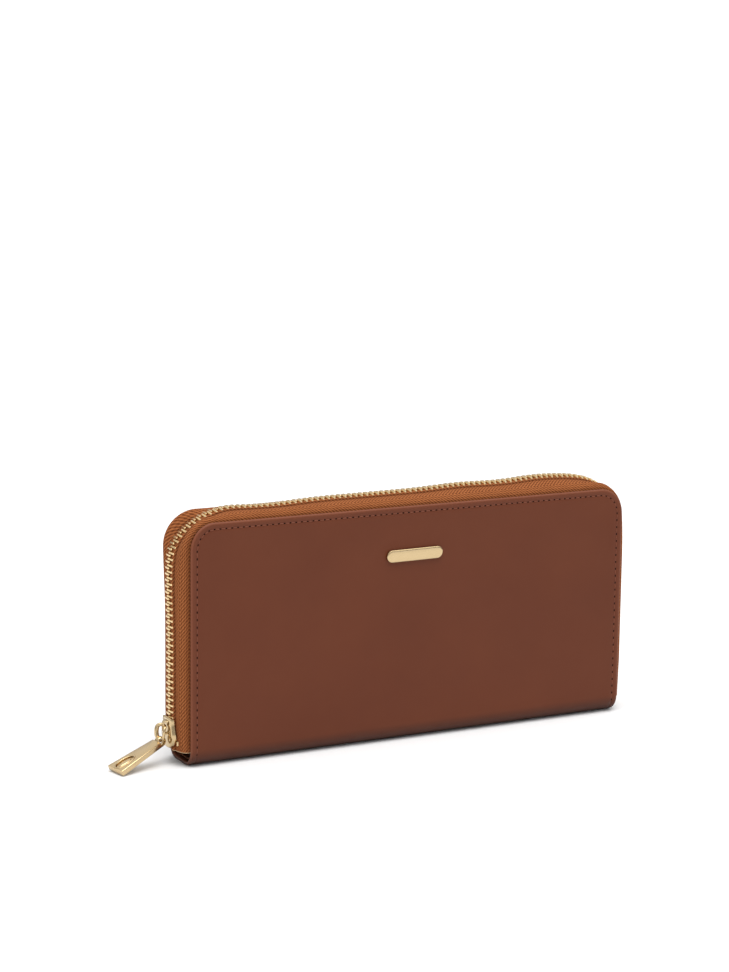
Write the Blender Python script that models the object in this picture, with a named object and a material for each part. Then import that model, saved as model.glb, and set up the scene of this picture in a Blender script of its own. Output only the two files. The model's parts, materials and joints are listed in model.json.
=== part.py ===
"""A zip-around wallet standing on its spine, zip closed.

X runs along the width, Y through the thickness (front cover at -Y) and Z up. The origin is the centre
of the flat that the spine rests on. Both covers hinge at the spine, the zip slider runs up the left
side, and a coin pocket with a zip of its own stands in the middle.
"""

import math

import bmesh
import bpy
from mathutils import Matrix, Vector

MM = 0.001

# Outside of the closed wallet
PANEL_WIDTH = 193.0 * MM
PANEL_HEIGHT = 95.5 * MM
CORNER_RADIUS = 10.5 * MM
THICKNESS = 21.0 * MM
SPINE_RADIUS = 7.0 * MM
ARC_STEPS = 7

# Sheets, from the outside in, and the clearance between neighbours
CLEARANCE = 0.3 * MM
LEATHER = 1.0 * MM
BOARD = 0.7 * MM
LINING = 0.4 * MM
CARD_LEATHER = 0.4 * MM
COIN_WALL = 0.5 * MM

# How far each sheet of a cover stays inside the leather's edge, and where the covers begin
COVER_FOOT = SPINE_RADIUS + 0.6 * MM
BOARD_INSET = 6.6 * MM
LINING_INSET = 2.0 * MM
TIER_TOPS = (78.0 * MM, 68.0 * MM, 58.0 * MM, 48.0 * MM)
TIER_HALF_WIDTH = 88.0 * MM
TIER_CORNER = 4.0 * MM

# Outer zip: a number five chain, its middle plane just outside the covers' edge
CHAIN_OFFSET = 3.1 * MM
CHAIN_THICKNESS = 2.2 * MM
TOOTH_PITCH = 2.4 * MM
TOOTH_LENGTH = 0.9 * MM
TOOTH_BACK = 2.9 * MM
TOOTH_ROOT = 1.9 * MM
TOOTH_TIP = -0.7 * MM
CHAIN_START = 13.5 * MM
CHAIN_END = 12.5 * MM
TAPE_THICKNESS = 0.6 * MM
TAPE_FLANGE = 6.0 * MM

# The tape swells out from under the cover's edge: (outside the edge, distance from the middle plane)
TAPE_CURVE = ((0.3 * MM, 8.9 * MM), (1.5 * MM, 8.1 * MM), (2.3 * MM, 6.6 * MM), (2.65 * MM, 3.4 * MM))

# Top stops, each a clamp on its tape beside the closed slider
TOP_STOP_GAP = 3.25 * MM
TOP_STOP_THICKNESS = 0.9 * MM
TOP_STOP_NEAR = 5.1 * MM
TOP_STOP_WIDTH = 0.8 * MM
TOP_STOP_LOW = 8.4 * MM
TOP_STOP_HIGH = 10.2 * MM

# Bottom stop, which joins the rows at the far end
BOTTOM_STOP_HALF_WIDTH = 2.7 * MM
BOTTOM_STOP_LENGTH = 3.1 * MM

# Slider of the outer zip, at the closed end of its run
SLIDER_BOTTOM = 6.8 * MM
SLIDER_PLATE = 0.8 * MM
SLIDER_SLOT = 2.8 * MM
POST_HALF_WIDTH = 1.5 * MM
POST_RISE = 0.6 * MM
POST_SHOULDER = 2.0 * MM
BRIDGE_BOTTOM = 11.9 * MM
BRIDGE_TOP = 17.6 * MM
BRIDGE_BAR = 0.75 * MM
BRIDGE_HALF_WIDTH = 1.1 * MM
BRIDGE_GAP = 1.7 * MM
BRIDGE_FOOT = 0.2 * MM
BRIDGE_CHAMFER = 0.7 * MM

# Half of the slider's plate, as (half width, height): narrow where the joined chain leaves it
SLIDER_HALF = ((2.9, 18.9), (3.3, 15.8), (4.4, 12.6), (4.6, 11.0), (4.1, 9.0), (3.0, 7.6), (1.4, 6.8))

# Ring link and pull tab, which hangs to the table with a little yaw to the front
RING_WIRE_BRIDGE = 0.65 * MM
RING_WIRE_SIDE = 0.88 * MM
RING_WIRE_EYE = 0.75 * MM
RING_RADIUS = 3.25 * MM
RING_LIFT = 0.82 * MM
RING_PIVOT_Z = 15.7 * MM
RING_TILT = math.radians(14.0)
PULL_YAW = math.radians(10.8)
TAB_SLOPE = math.radians(21.4)
TAB_LENGTH = 22.1 * MM
TAB_START = 1.5 * MM
TAB_NARROW = 6.6 * MM
TAB_WIDE = 10.0 * MM
TAB_THICKNESS = 2.2 * MM
EYE_HOLE = 1.4 * MM
EYE_RADIUS = 2.1 * MM
EYE_WIDTH = 2.2 * MM

# Badge bar on the front cover, held by two prongs through the leather
BADGE_LENGTH = 25.0 * MM
BADGE_HEIGHT = 5.0 * MM
BADGE_THICKNESS = 1.0 * MM
BADGE_Z = 76.0 * MM
PRONG_RADIUS = 0.5 * MM
PRONG_SPACING = 16.0 * MM

# Coin pocket in the middle
COIN_HALF_WIDTH = 88.5 * MM
COIN_HALF_DEPTH = 3.1 * MM
COIN_FOOT = 3.0 * MM
COIN_TOP = 79.7 * MM
COIN_TAPE = 0.4 * MM
COIN_TAPE_EDGE = 1.7 * MM
COIN_PITCH = 3.0 * MM
COIN_TOOTH_LENGTH = 1.2 * MM
COIN_CHAIN_START = -79.5 * MM
COIN_CHAIN_TEETH = 54
COIN_TOOTH_WIDTHS = (1.4 * MM, 0.9 * MM, -0.5 * MM)
COIN_TOOTH_HALF_HEIGHT = 0.7 * MM
COIN_STOP_LENGTH = 0.8 * MM
COIN_STOP_HALF_WIDTH = 1.3 * MM

# Coin slider, at the closed end, and its flat pull with a window, as (along, across) in millimetres
COIN_SLIDER_X = -79.5 * MM
COIN_SLIDER_BACK = 3.6 * MM
COIN_SLIDER_FRONT = 4.4 * MM
COIN_SLIDER_HALF_WIDTH = 2.2 * MM
COIN_SLIDER_SLOT = 1.0 * MM
COIN_SLIDER_PLATE = 0.7 * MM
COIN_POST_HALF_WIDTH = 0.8 * MM
COIN_BRIDGE_GAP = 1.6 * MM
COIN_BRIDGE_BAR = 0.8 * MM
COIN_BRIDGE_SPAN = 3.0 * MM
COIN_BRIDGE_HALF_WIDTH = 0.9 * MM
COIN_PULL_OUTLINE = ((-0.6, -2.0), (4.4, -2.0), (11.0, -2.5), (11.0, 2.5), (4.4, 2.0), (-0.6, 2.0))
COIN_PULL_WINDOW = ((0.6, -1.2), (4.2, -1.2), (4.2, 1.2), (0.6, 1.2))
COIN_PULL_HALF = 0.5 * MM

# Folding side gussets between the coin pocket and the covers
GUSSET_HALF_WIDTH = 89.0 * MM
GUSSET_FOOT = 12.0 * MM
GUSSET_TOP = 84.0 * MM
GUSSET_LAYER = 0.4 * MM
GUSSET_DEPTH = 21.0 * MM

HALF_WIDTH = PANEL_WIDTH / 2
HALF_THICKNESS = THICKNESS / 2
FLAT_HALF = HALF_THICKNESS - SPINE_RADIUS
LEFT_EDGE = -HALF_WIDTH
CHAIN_X = LEFT_EDGE - CHAIN_OFFSET
COIN_CHAIN_Z = COIN_TOP + CLEARANCE + 0.6 * MM

# The hinge sits where a sheet bent round the spine keeps its length as the cover opens
HINGE_Y = HALF_THICKNESS - 0.215 * SPINE_RADIUS
HINGE_Z = 0.215 * SPINE_RADIUS

SIDES = {"front": -1, "back": 1}


# Materials


def material(name, color, roughness, metallic=0.0):
    made = bpy.data.materials.new(name)
    made.use_nodes = True
    shader = made.node_tree.nodes["Principled BSDF"]
    shader.inputs["Base Color"].default_value = (*color, 1.0)
    shader.inputs["Roughness"].default_value = roughness
    shader.inputs["Metallic"].default_value = metallic
    return made


def make_materials():
    return {
        "leather": material("brown_leather", (0.153, 0.050, 0.028), 0.5),
        "board": material("leather_fibre_board", (0.30, 0.20, 0.12), 0.9),
        "lining": material("lining_fabric", (0.16, 0.075, 0.045), 0.85),
        "tape": material("zip_tape_fabric", (0.32, 0.115, 0.038), 0.85),
        "gold": material("polished_gold_metal", (0.86, 0.66, 0.36), 0.22, 1.0),
    }


# Mesh helpers


def add_object(name, bm, finish, parent, smooth=False):
    """Turns a bmesh into a named object that moves with its parent empty."""
    bmesh.ops.recalc_face_normals(bm, faces=bm.faces)
    if bm.calc_volume(signed=True) < 0:
        bmesh.ops.reverse_faces(bm, faces=bm.faces)
    mesh = bpy.data.meshes.new(name)
    bm.to_mesh(mesh)
    bm.free()
    if smooth:
        mesh.shade_smooth()
        mesh.set_sharp_from_angle(angle=math.radians(35))
    mesh.materials.append(finish)
    made = bpy.data.objects.new(name, mesh)
    bpy.context.collection.objects.link(made)
    if parent:
        made.parent = parent
        made.matrix_parent_inverse = Matrix.Translation(parent.location).inverted()
    return made


def add_empty(name, location, parent=None):
    """An empty on a joint's axis; the pieces that move with the joint are its children."""
    made = bpy.data.objects.new(name, None)
    made.location = location
    made.empty_display_size = 0.01
    bpy.context.collection.objects.link(made)
    if parent:
        made.parent = parent
        made.matrix_parent_inverse = Matrix.Translation(parent.location).inverted()
    return made


def loft(rings):
    """A closed solid through rings of points, each ring with the same number of points."""
    bm = bmesh.new()
    rows = [[bm.verts.new(point) for point in ring] for ring in rings]
    count = len(rows[0])
    bm.faces.new(rows[0])
    bm.faces.new(rows[-1])
    for low, high in zip(rows, rows[1:]):
        for i in range(count):
            j = (i + 1) % count
            bm.faces.new((low[i], low[j], high[j], high[i]))
    return bm


def slab_xz(outline, side, outer, inner):
    """An outline of (x, z) points made solid between two depths from the middle plane."""
    return loft([[(x, side * depth, z) for x, z in outline] for depth in (outer, inner)])


def slab_yz(outline, x_from, x_to):
    """An outline of (y, z) points made solid between two places along X."""
    return loft([[(x, y, z) for y, z in outline] for x in (x_from, x_to)])


def box(low, high):
    x0, y0, z0 = low
    x1, y1, z1 = high
    return slab_yz([(y0, z0), (y1, z0), (y1, z1), (y0, z1)], x0, x1)


def arc(centre_u, centre_v, radius, start_deg, end_deg, steps=ARC_STEPS):
    """Points along an arc in a plane, both ends included."""
    points = []
    for i in range(steps + 1):
        angle = math.radians(start_deg + (end_deg - start_deg) * i / steps)
        points.append((centre_u + radius * math.cos(angle), centre_v + radius * math.sin(angle)))
    return points


def panel_outline(half_width, foot, top, radius):
    """A sheet with a straight foot and two round top corners, as (x, z) points."""
    right = arc(half_width - radius, top - radius, radius, 0, 90)
    left = arc(radius - half_width, top - radius, radius, 90, 180)
    return [(-half_width, foot), (half_width, foot), *right, *left]


def cut_or_join(target, tool, operation):
    """Adds an exact Boolean with a hidden tool object."""
    tool.hide_render = True
    tool.display_type = "WIRE"
    step = target.modifiers.new(operation.lower(), "BOOLEAN")
    step.operation = operation
    step.solver = "EXACT"
    step.object = tool


def cylinder_along_y(centre, radius, half_length, steps):
    x, y, z = centre
    circle = arc(x, z, radius, 0, 360 - 360 / steps, steps - 1)
    return loft([[(u, y + end, v) for u, v in circle] for end in (-half_length, half_length)])


# Spine


def spine_section(inset):
    """Half round, flat, half round: the spine's section at some depth under its outer face."""
    radius = SPINE_RADIUS - inset
    left = arc(-FLAT_HALF, SPINE_RADIUS, radius, 180, 270)
    right = arc(FLAT_HALF, SPINE_RADIUS, radius, 270, 360)
    return left + right


def spine_sheet(outer_inset, thickness, half_width):
    outline = spine_section(outer_inset) + spine_section(outer_inset + thickness)[::-1]
    return slab_yz(outline, -half_width, half_width)


def make_spine(finishes):
    add_object("spine_leather", spine_sheet(0, LEATHER, HALF_WIDTH), finishes["leather"], None)
    board_z = LEATHER + CLEARANCE
    board = box((-TIER_HALF_WIDTH, -FLAT_HALF, board_z), (TIER_HALF_WIDTH, FLAT_HALF, board_z + BOARD))
    add_object("spine_board", board, finishes["board"], None)
    lining_inset = LEATHER + BOARD + 2 * CLEARANCE
    lining = spine_sheet(lining_inset, LINING, HALF_WIDTH - LINING_INSET)
    add_object("spine_lining", lining, finishes["lining"], None)


# Covers


def make_cover_leather(side_name, finishes, hinge):
    side = SIDES[side_name]
    outline = panel_outline(HALF_WIDTH, COVER_FOOT, PANEL_HEIGHT, CORNER_RADIUS)
    sheet = slab_xz(outline, side, HALF_THICKNESS, HALF_THICKNESS - LEATHER)
    leather = add_object(f"{side_name}_cover_leather", sheet, finishes["leather"], hinge)
    if side_name == "front":
        for end in (-1, 1):
            centre = (end * PRONG_SPACING / 2, -HALF_THICKNESS, BADGE_Z)
            hole = cylinder_along_y(centre, PRONG_RADIUS + CLEARANCE, 2 * LEATHER, 8)
            tool = add_object(f"prong_hole_tool_{end + 1}", hole, finishes["leather"], hinge)
            cut_or_join(leather, tool, "DIFFERENCE")


def make_cover_sheets(side_name, finishes, hinge):
    side = SIDES[side_name]
    depth = HALF_THICKNESS - LEATHER - CLEARANCE
    foot = COVER_FOOT + CLEARANCE
    outline = panel_outline(
        HALF_WIDTH - BOARD_INSET, foot, PANEL_HEIGHT - BOARD_INSET, CORNER_RADIUS - BOARD_INSET
    )
    sheet = slab_xz(outline, side, depth, depth - BOARD)
    add_object(f"{side_name}_board", sheet, finishes["board"], hinge)

    depth -= BOARD + CLEARANCE
    outline = panel_outline(
        HALF_WIDTH - LINING_INSET, foot, PANEL_HEIGHT - LINING_INSET, CORNER_RADIUS - LINING_INSET
    )
    sheet = slab_xz(outline, side, depth, depth - LINING)
    add_object(f"{side_name}_lining", sheet, finishes["lining"], hinge)

    depth -= LINING + CLEARANCE
    for number, top in enumerate(TIER_TOPS, start=1):
        outline = panel_outline(TIER_HALF_WIDTH, foot, top, TIER_CORNER)
        sheet = slab_xz(outline, side, depth, depth - CARD_LEATHER)
        add_object(f"{side_name}_card_tier_{number}", sheet, finishes["leather"], hinge)
        depth -= CARD_LEATHER + CLEARANCE


def make_badge(finishes, hinge):
    back = HALF_THICKNESS + CLEARANCE
    radius = BADGE_HEIGHT / 2
    reach = BADGE_LENGTH / 2 - radius
    outline = arc(reach, BADGE_Z, radius, -90, 90) + arc(-reach, BADGE_Z, radius, 90, 270)
    badge = add_object(
        "badge_bar", slab_xz(outline, -1, back + BADGE_THICKNESS, back), finishes["gold"], hinge
    )
    for end in (-1, 1):
        root = back + BADGE_THICKNESS / 2
        tip = HALF_THICKNESS - LEATHER + 0.2 * MM
        centre = (end * PRONG_SPACING / 2, -(root + tip) / 2, BADGE_Z)
        prong = cylinder_along_y(centre, PRONG_RADIUS, (root - tip) / 2, 8)
        tool = add_object(f"prong_tool_{end + 1}", prong, finishes["gold"], hinge)
        cut_or_join(badge, tool, "UNION")


# Outer zip


def edge_path(foot):
    """Places and outward normals along the covers' edge: up the left, over the top, down the right."""
    inner_x = HALF_WIDTH - CORNER_RADIUS
    inner_z = PANEL_HEIGHT - CORNER_RADIUS
    stations = [(LEFT_EDGE, foot, -1.0, 0.0)]
    for centre_x, start in ((-inner_x, 180), (inner_x, 90)):
        for i in range(ARC_STEPS + 1):
            angle = math.radians(start - 90 * i / ARC_STEPS)
            out_x = math.cos(angle)
            out_z = math.sin(angle)
            place_x = centre_x + CORNER_RADIUS * out_x
            stations.append((place_x, inner_z + CORNER_RADIUS * out_z, out_x, out_z))
    stations.append((HALF_WIDTH, foot, 1.0, 0.0))
    return stations


def thick_line(line, half):
    """Both faces of a strip that follows a line of flat points, as one closed outline."""
    upper = []
    lower = []
    for i, point in enumerate(line):
        ahead = Vector(line[min(i + 1, len(line) - 1)]) - Vector(line[max(i - 1, 0)])
        normal = Vector((-ahead.y, ahead.x)).normalized() * half
        upper.append(tuple(Vector(point) + normal))
        lower.append(tuple(Vector(point) - normal))
    return upper + lower[::-1]


def make_tape(side_name, finishes, hinge):
    """A woven strip: a flange sewn under the cover's edge, then a swell out to the chain."""
    side = SIDES[side_name]
    line = [(-TAPE_FLANGE, TAPE_CURVE[0][1]), *TAPE_CURVE]
    section = thick_line(line, TAPE_THICKNESS / 2)
    rings = []
    for x, z, out_x, out_z in edge_path(COVER_FOOT):
        rings.append([(x + n * out_x, side * depth, z + n * out_z) for n, depth in section])
    add_object(f"{side_name}_zip_tape", loft(rings), finishes["tape"], hinge)


def chain_place(run, offset):
    """The (x, z) place at a run along the chain's middle plane and an offset out from it."""
    radius = CORNER_RADIUS + CHAIN_OFFSET
    inner_x = HALF_WIDTH - CORNER_RADIUS
    inner_z = PANEL_HEIGHT - CORNER_RADIUS
    side_run = inner_z - CHAIN_START
    corner_run = radius * math.pi / 2
    top_run = 2 * inner_x
    reach = radius + offset
    if run <= side_run:
        return -inner_x - reach, CHAIN_START + run
    run -= side_run
    if run <= corner_run:
        angle = math.pi - run / radius
        return -inner_x + reach * math.cos(angle), inner_z + reach * math.sin(angle)
    run -= corner_run
    if run <= top_run:
        return -inner_x + run, inner_z + reach
    run -= top_run
    if run <= corner_run:
        angle = math.pi / 2 - run / radius
        return inner_x + reach * math.cos(angle), inner_z + reach * math.sin(angle)
    run -= corner_run
    return inner_x + reach, inner_z - run


def chain_length():
    inner_z = PANEL_HEIGHT - CORNER_RADIUS
    corners = math.pi * (CORNER_RADIUS + CHAIN_OFFSET)
    return 2 * (inner_z) - CHAIN_START - CHAIN_END + corners + 2 * (HALF_WIDTH - CORNER_RADIUS)


def straight_groups(count, pitch, first_run):
    """Splits the teeth so that each group lies on one straight stretch, or is one tooth on a corner."""
    inner_z = PANEL_HEIGHT - CORNER_RADIUS
    side_run = inner_z - CHAIN_START
    corner_run = (CORNER_RADIUS + CHAIN_OFFSET) * math.pi / 2
    top_run = 2 * (HALF_WIDTH - CORNER_RADIUS)
    ends = [side_run, side_run + corner_run, side_run + corner_run + top_run]
    ends.append(ends[-1] + corner_run)
    groups = []
    start = 0
    for index in range(count):
        low = first_run + index * pitch
        high = low + pitch
        on_corner = (high > ends[0] and low < ends[1]) or (high > ends[2] and low < ends[3])
        if on_corner:
            if start < index:
                groups.append((start, index))
            groups.append((index, index + 1))
            start = index + 1
    if start < count:
        groups.append((start, count))
    return groups


def comb(groups, pitch, tooth_length, widths, offsets, first_run, place):
    """A row of teeth on a cord: one closed comb. place turns (run, width, offset) into a point."""
    back, root, tip = widths
    bm = bmesh.new()
    count = groups[-1][1]
    layers = []
    for offset in offsets:
        outline = []
        for index in range(count):
            run = first_run + index * pitch
            for step, width in ((0, root), (0, tip), (tooth_length, tip), (tooth_length, root)):
                outline.append(bm.verts.new(place(run + step, width, offset)))
        outline.append(bm.verts.new(place(first_run + count * pitch, root, offset)))
        bounds = [0] + [end for _, end in groups]
        spine = [bm.verts.new(place(first_run + index * pitch, back, offset)) for index in bounds]
        for i, (start, end) in enumerate(groups):
            bm.faces.new([*outline[4 * start : 4 * end + 1], spine[i + 1], spine[i]])
        layers.append((outline, spine))
    (outline_a, spine_a), (outline_b, spine_b) = layers
    for row_a, row_b in ((outline_a, outline_b), (spine_a, spine_b)):
        for i in range(len(row_a) - 1):
            bm.faces.new((row_a[i], row_a[i + 1], row_b[i + 1], row_b[i]))
    for i in (0, -1):
        bm.faces.new((outline_a[i], spine_a[i], spine_b[i], outline_b[i]))
    return bm


def make_teeth(side_name, finishes, hinge):
    side = SIDES[side_name]
    first_run = TOOTH_PITCH / 2 if side > 0 else 0.0
    count = int((chain_length() - first_run) / TOOTH_PITCH)
    groups = straight_groups(count, TOOTH_PITCH, first_run)

    def place(run, width, offset):
        x, z = chain_place(run, offset)
        return x, side * width, z

    widths = (TOOTH_BACK, TOOTH_ROOT, TOOTH_TIP)
    offsets = (-CHAIN_THICKNESS / 2, CHAIN_THICKNESS / 2)
    row = comb(groups, TOOTH_PITCH, TOOTH_LENGTH, widths, offsets, first_run, place)
    add_object(f"{side_name}_zip_teeth", row, finishes["gold"], hinge)


def make_top_stop(side_name, finishes, hinge):
    """A small metal clamp on the tape, just beyond the closed slider's side."""
    side = SIDES[side_name]
    inner = LEFT_EDGE - TOP_STOP_GAP
    near = side * TOP_STOP_NEAR
    far = side * (TOP_STOP_NEAR + TOP_STOP_WIDTH)
    low = (inner - TOP_STOP_THICKNESS, min(near, far), TOP_STOP_LOW)
    high = (inner, max(near, far), TOP_STOP_HIGH)
    add_object(f"{side_name}_zip_top_stop", box(low, high), finishes["gold"], hinge)


def make_bottom_stop(finishes, hinge):
    """Joins the two rows at the far end of the zip, low on the right side."""
    inner = HALF_WIDTH + CHAIN_OFFSET - CHAIN_THICKNESS / 2
    top = CHAIN_END - CLEARANCE
    low = (inner, -BOTTOM_STOP_HALF_WIDTH, top - BOTTOM_STOP_LENGTH)
    high = (inner + CHAIN_THICKNESS, BOTTOM_STOP_HALF_WIDTH, top)
    add_object("zip_bottom_stop", box(low, high), finishes["gold"], hinge)


# Slider, ring and pull tab of the outer zip


def slider_outline():
    """The slider's plate as (y, z) points: narrow where the joined chain leaves, wide at the post."""
    right = [(y * MM, z * MM) for y, z in SLIDER_HALF]
    return right + [(-y, z) for y, z in right[::-1]]


def make_slider(finishes, carrier):
    outer_face = CHAIN_X - SLIDER_SLOT / 2
    inner_face = CHAIN_X + SLIDER_SLOT / 2
    plate = slab_yz(slider_outline(), outer_face - SLIDER_PLATE, outer_face)
    body = add_object("zip_slider_body", plate, finishes["gold"], carrier)
    plate = slab_yz(slider_outline(), inner_face, inner_face + SLIDER_PLATE)
    tool = add_object("inner_plate_tool", plate, finishes["gold"], carrier)
    cut_or_join(body, tool, "UNION")
    low = SLIDER_BOTTOM + POST_RISE
    high = CHAIN_START - POST_RISE
    middle = low + POST_SHOULDER
    diamond = [(0.0, low), (POST_HALF_WIDTH, middle), (0.0, high), (-POST_HALF_WIDTH, middle)]
    sunk = SLIDER_PLATE / 2
    post = slab_yz(diamond, outer_face - sunk, inner_face + sunk)
    tool = add_object("post_tool", post, finishes["gold"], carrier)
    cut_or_join(body, tool, "UNION")


def make_bridge(finishes, carrier):
    """An arch over the slider's outer plate, open to both sides for the ring."""
    foot = CHAIN_X - SLIDER_SLOT / 2 - SLIDER_PLATE - BRIDGE_FOOT
    under = foot - BRIDGE_GAP
    top = under - BRIDGE_BAR
    chamfer = BRIDGE_CHAMFER
    outline = [
        (foot, BRIDGE_BOTTOM),
        (top + chamfer, BRIDGE_BOTTOM),
        (top, BRIDGE_BOTTOM + chamfer),
        (top, BRIDGE_TOP - chamfer),
        (top + chamfer, BRIDGE_TOP),
        (foot, BRIDGE_TOP),
        (foot, BRIDGE_TOP - BRIDGE_BAR),
        (under, BRIDGE_TOP - BRIDGE_BAR),
        (under, BRIDGE_BOTTOM + BRIDGE_BAR),
        (foot, BRIDGE_BOTTOM + BRIDGE_BAR),
    ]
    arch = slab_xz(outline, 1, -BRIDGE_HALF_WIDTH, BRIDGE_HALF_WIDTH)
    add_object("zip_slider_bridge", arch, finishes["gold"], carrier)


def pull_frame(origin, yaw, slope):
    """A frame whose X runs out along a pull, yawed to the front and sloping down, and Y across it."""
    turn = Matrix.Rotation(math.pi + yaw, 4, "Z") @ Matrix.Rotation(slope, 4, "Y")
    return Matrix.Translation(origin) @ turn


def ring_pivot():
    plate = CHAIN_X - SLIDER_SLOT / 2 - SLIDER_PLATE
    return Vector((plate - RING_LIFT, 0.0, RING_PIVOT_Z))


def ring_frame():
    return pull_frame(ring_pivot(), 0.0, math.pi / 2 - RING_TILT)


def tab_pivot():
    return ring_frame() @ Vector((2 * RING_RADIUS, 0.0, 0.0))


def wire_radius(turn):
    """The link's wire is stoutest at its sides, and thinnest where it goes under the bridge."""
    end = RING_WIRE_EYE if math.cos(turn) > 0 else RING_WIRE_BRIDGE
    share = min(1.0, abs(math.sin(turn)) ** 2 * 1.6)
    return end + (RING_WIRE_SIDE - end) * share


def make_ring(finishes, pivot):
    """A wire link through the bridge and the tab's eye."""
    rings = []
    steps = 24
    sides = 8
    bm = bmesh.new()
    for i in range(steps):
        turn = 2 * math.pi * i / steps
        out = Vector((math.cos(turn), math.sin(turn), 0.0))
        wire = wire_radius(turn)
        row = []
        for j in range(sides):
            angle = 2 * math.pi * (j + 0.5) / sides
            reach = RING_RADIUS + wire * math.cos(angle)
            point = Vector((RING_RADIUS, 0.0, wire * math.sin(angle))) + out * reach
            row.append(bm.verts.new(point))
        rings.append(row)
    for i in range(steps):
        low = rings[i]
        high = rings[(i + 1) % steps]
        for j in range(sides):
            k = (j + 1) % sides
            bm.faces.new((low[j], low[k], high[k], high[j]))
    bm.transform(ring_frame())
    add_object("pull_ring", bm, finishes["gold"], pivot, smooth=True)


def make_tab(finishes, pivot):
    """A tapered bar with an eye at its narrow end, its wide end down on the table."""
    frame = pull_frame(tab_pivot(), PULL_YAW, TAB_SLOPE)
    half = TAB_THICKNESS / 2
    rings = []
    for along, width in ((TAB_START, TAB_NARROW), (TAB_LENGTH, TAB_WIDE)):
        corners = ((-1, -1), (1, -1), (1, 1), (-1, 1))
        rings.append([(along, u * width / 2, v * half) for u, v in corners])
    bm = loft(rings)
    bm.transform(frame)
    tab = add_object("pull_tab", bm, finishes["gold"], pivot)
    eye = cylinder_along_y((0.0, 0.0, 0.0), EYE_RADIUS, EYE_WIDTH / 2, 16)
    eye.transform(frame)
    cut_or_join(tab, add_object("eye_tool", eye, finishes["gold"], pivot), "UNION")
    hole = cylinder_along_y((0.0, 0.0, 0.0), EYE_HOLE, EYE_WIDTH, 16)
    hole.transform(frame)
    cut_or_join(tab, add_object("eye_hole_tool", hole, finishes["gold"], pivot), "DIFFERENCE")


# Coin pocket


def make_coin_pocket(finishes):
    outline = panel_outline(COIN_HALF_WIDTH, COIN_FOOT, COIN_TOP, TIER_CORNER)
    for side_name, side in SIDES.items():
        wall = slab_xz(outline, side, COIN_HALF_DEPTH, COIN_HALF_DEPTH - COIN_WALL)
        add_object(f"coin_pocket_{side_name}_wall", wall, finishes["leather"], None)
    outer = COIN_HALF_WIDTH
    inner = outer - COIN_WALL
    top = COIN_TOP - TIER_CORNER
    floor = COIN_FOOT + COIN_WALL
    strip = [
        (-outer, COIN_FOOT),
        (outer, COIN_FOOT),
        (outer, top),
        (inner, top),
        (inner, floor),
        (-inner, floor),
        (-inner, top),
        (-outer, top),
    ]
    half = COIN_HALF_DEPTH - COIN_WALL - CLEARANCE
    add_object("coin_pocket_edge_gusset", slab_xz(strip, 1, -half, half), finishes["lining"], None)


def make_coin_zip(finishes):
    tape_low = COIN_TOP + CLEARANCE
    reach = COIN_HALF_WIDTH - TIER_CORNER
    half = COIN_TOOTH_HALF_HEIGHT
    for side_name, side in SIDES.items():
        near, far = sorted((side * COIN_TAPE_EDGE, side * COIN_HALF_DEPTH))
        tape = box((-reach, near, tape_low), (reach, far, tape_low + COIN_TAPE))
        add_object(f"coin_zip_tape_{side_name}", tape, finishes["tape"], None)

        def place(run, width, offset, side=side):
            return COIN_CHAIN_START + run, side * width, COIN_CHAIN_Z + offset

        first_run = COIN_PITCH / 2 if side > 0 else 0.0
        groups = [(0, COIN_CHAIN_TEETH)]
        offsets = (-half, half)
        widths = COIN_TOOTH_WIDTHS
        row = comb(groups, COIN_PITCH, COIN_TOOTH_LENGTH, widths, offsets, first_run, place)
        add_object(f"coin_zip_teeth_{side_name}", row, finishes["gold"], None)
    chain_end = COIN_CHAIN_START + (COIN_CHAIN_TEETH + 0.5) * COIN_PITCH + CLEARANCE
    for end_name, x in (("left", -reach), ("right", chain_end)):
        low = (x, -COIN_STOP_HALF_WIDTH, COIN_CHAIN_Z - half)
        high = (x + COIN_STOP_LENGTH, COIN_STOP_HALF_WIDTH, COIN_CHAIN_Z + half)
        add_object(f"coin_zip_stop_{end_name}", box(low, high), finishes["gold"], None)


def coin_pull_z():
    """The height of the coin pull's middle, in the gap under the coin slider's bridge."""
    return COIN_CHAIN_Z + COIN_SLIDER_SLOT + COIN_SLIDER_PLATE + COIN_BRIDGE_GAP / 2


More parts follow.
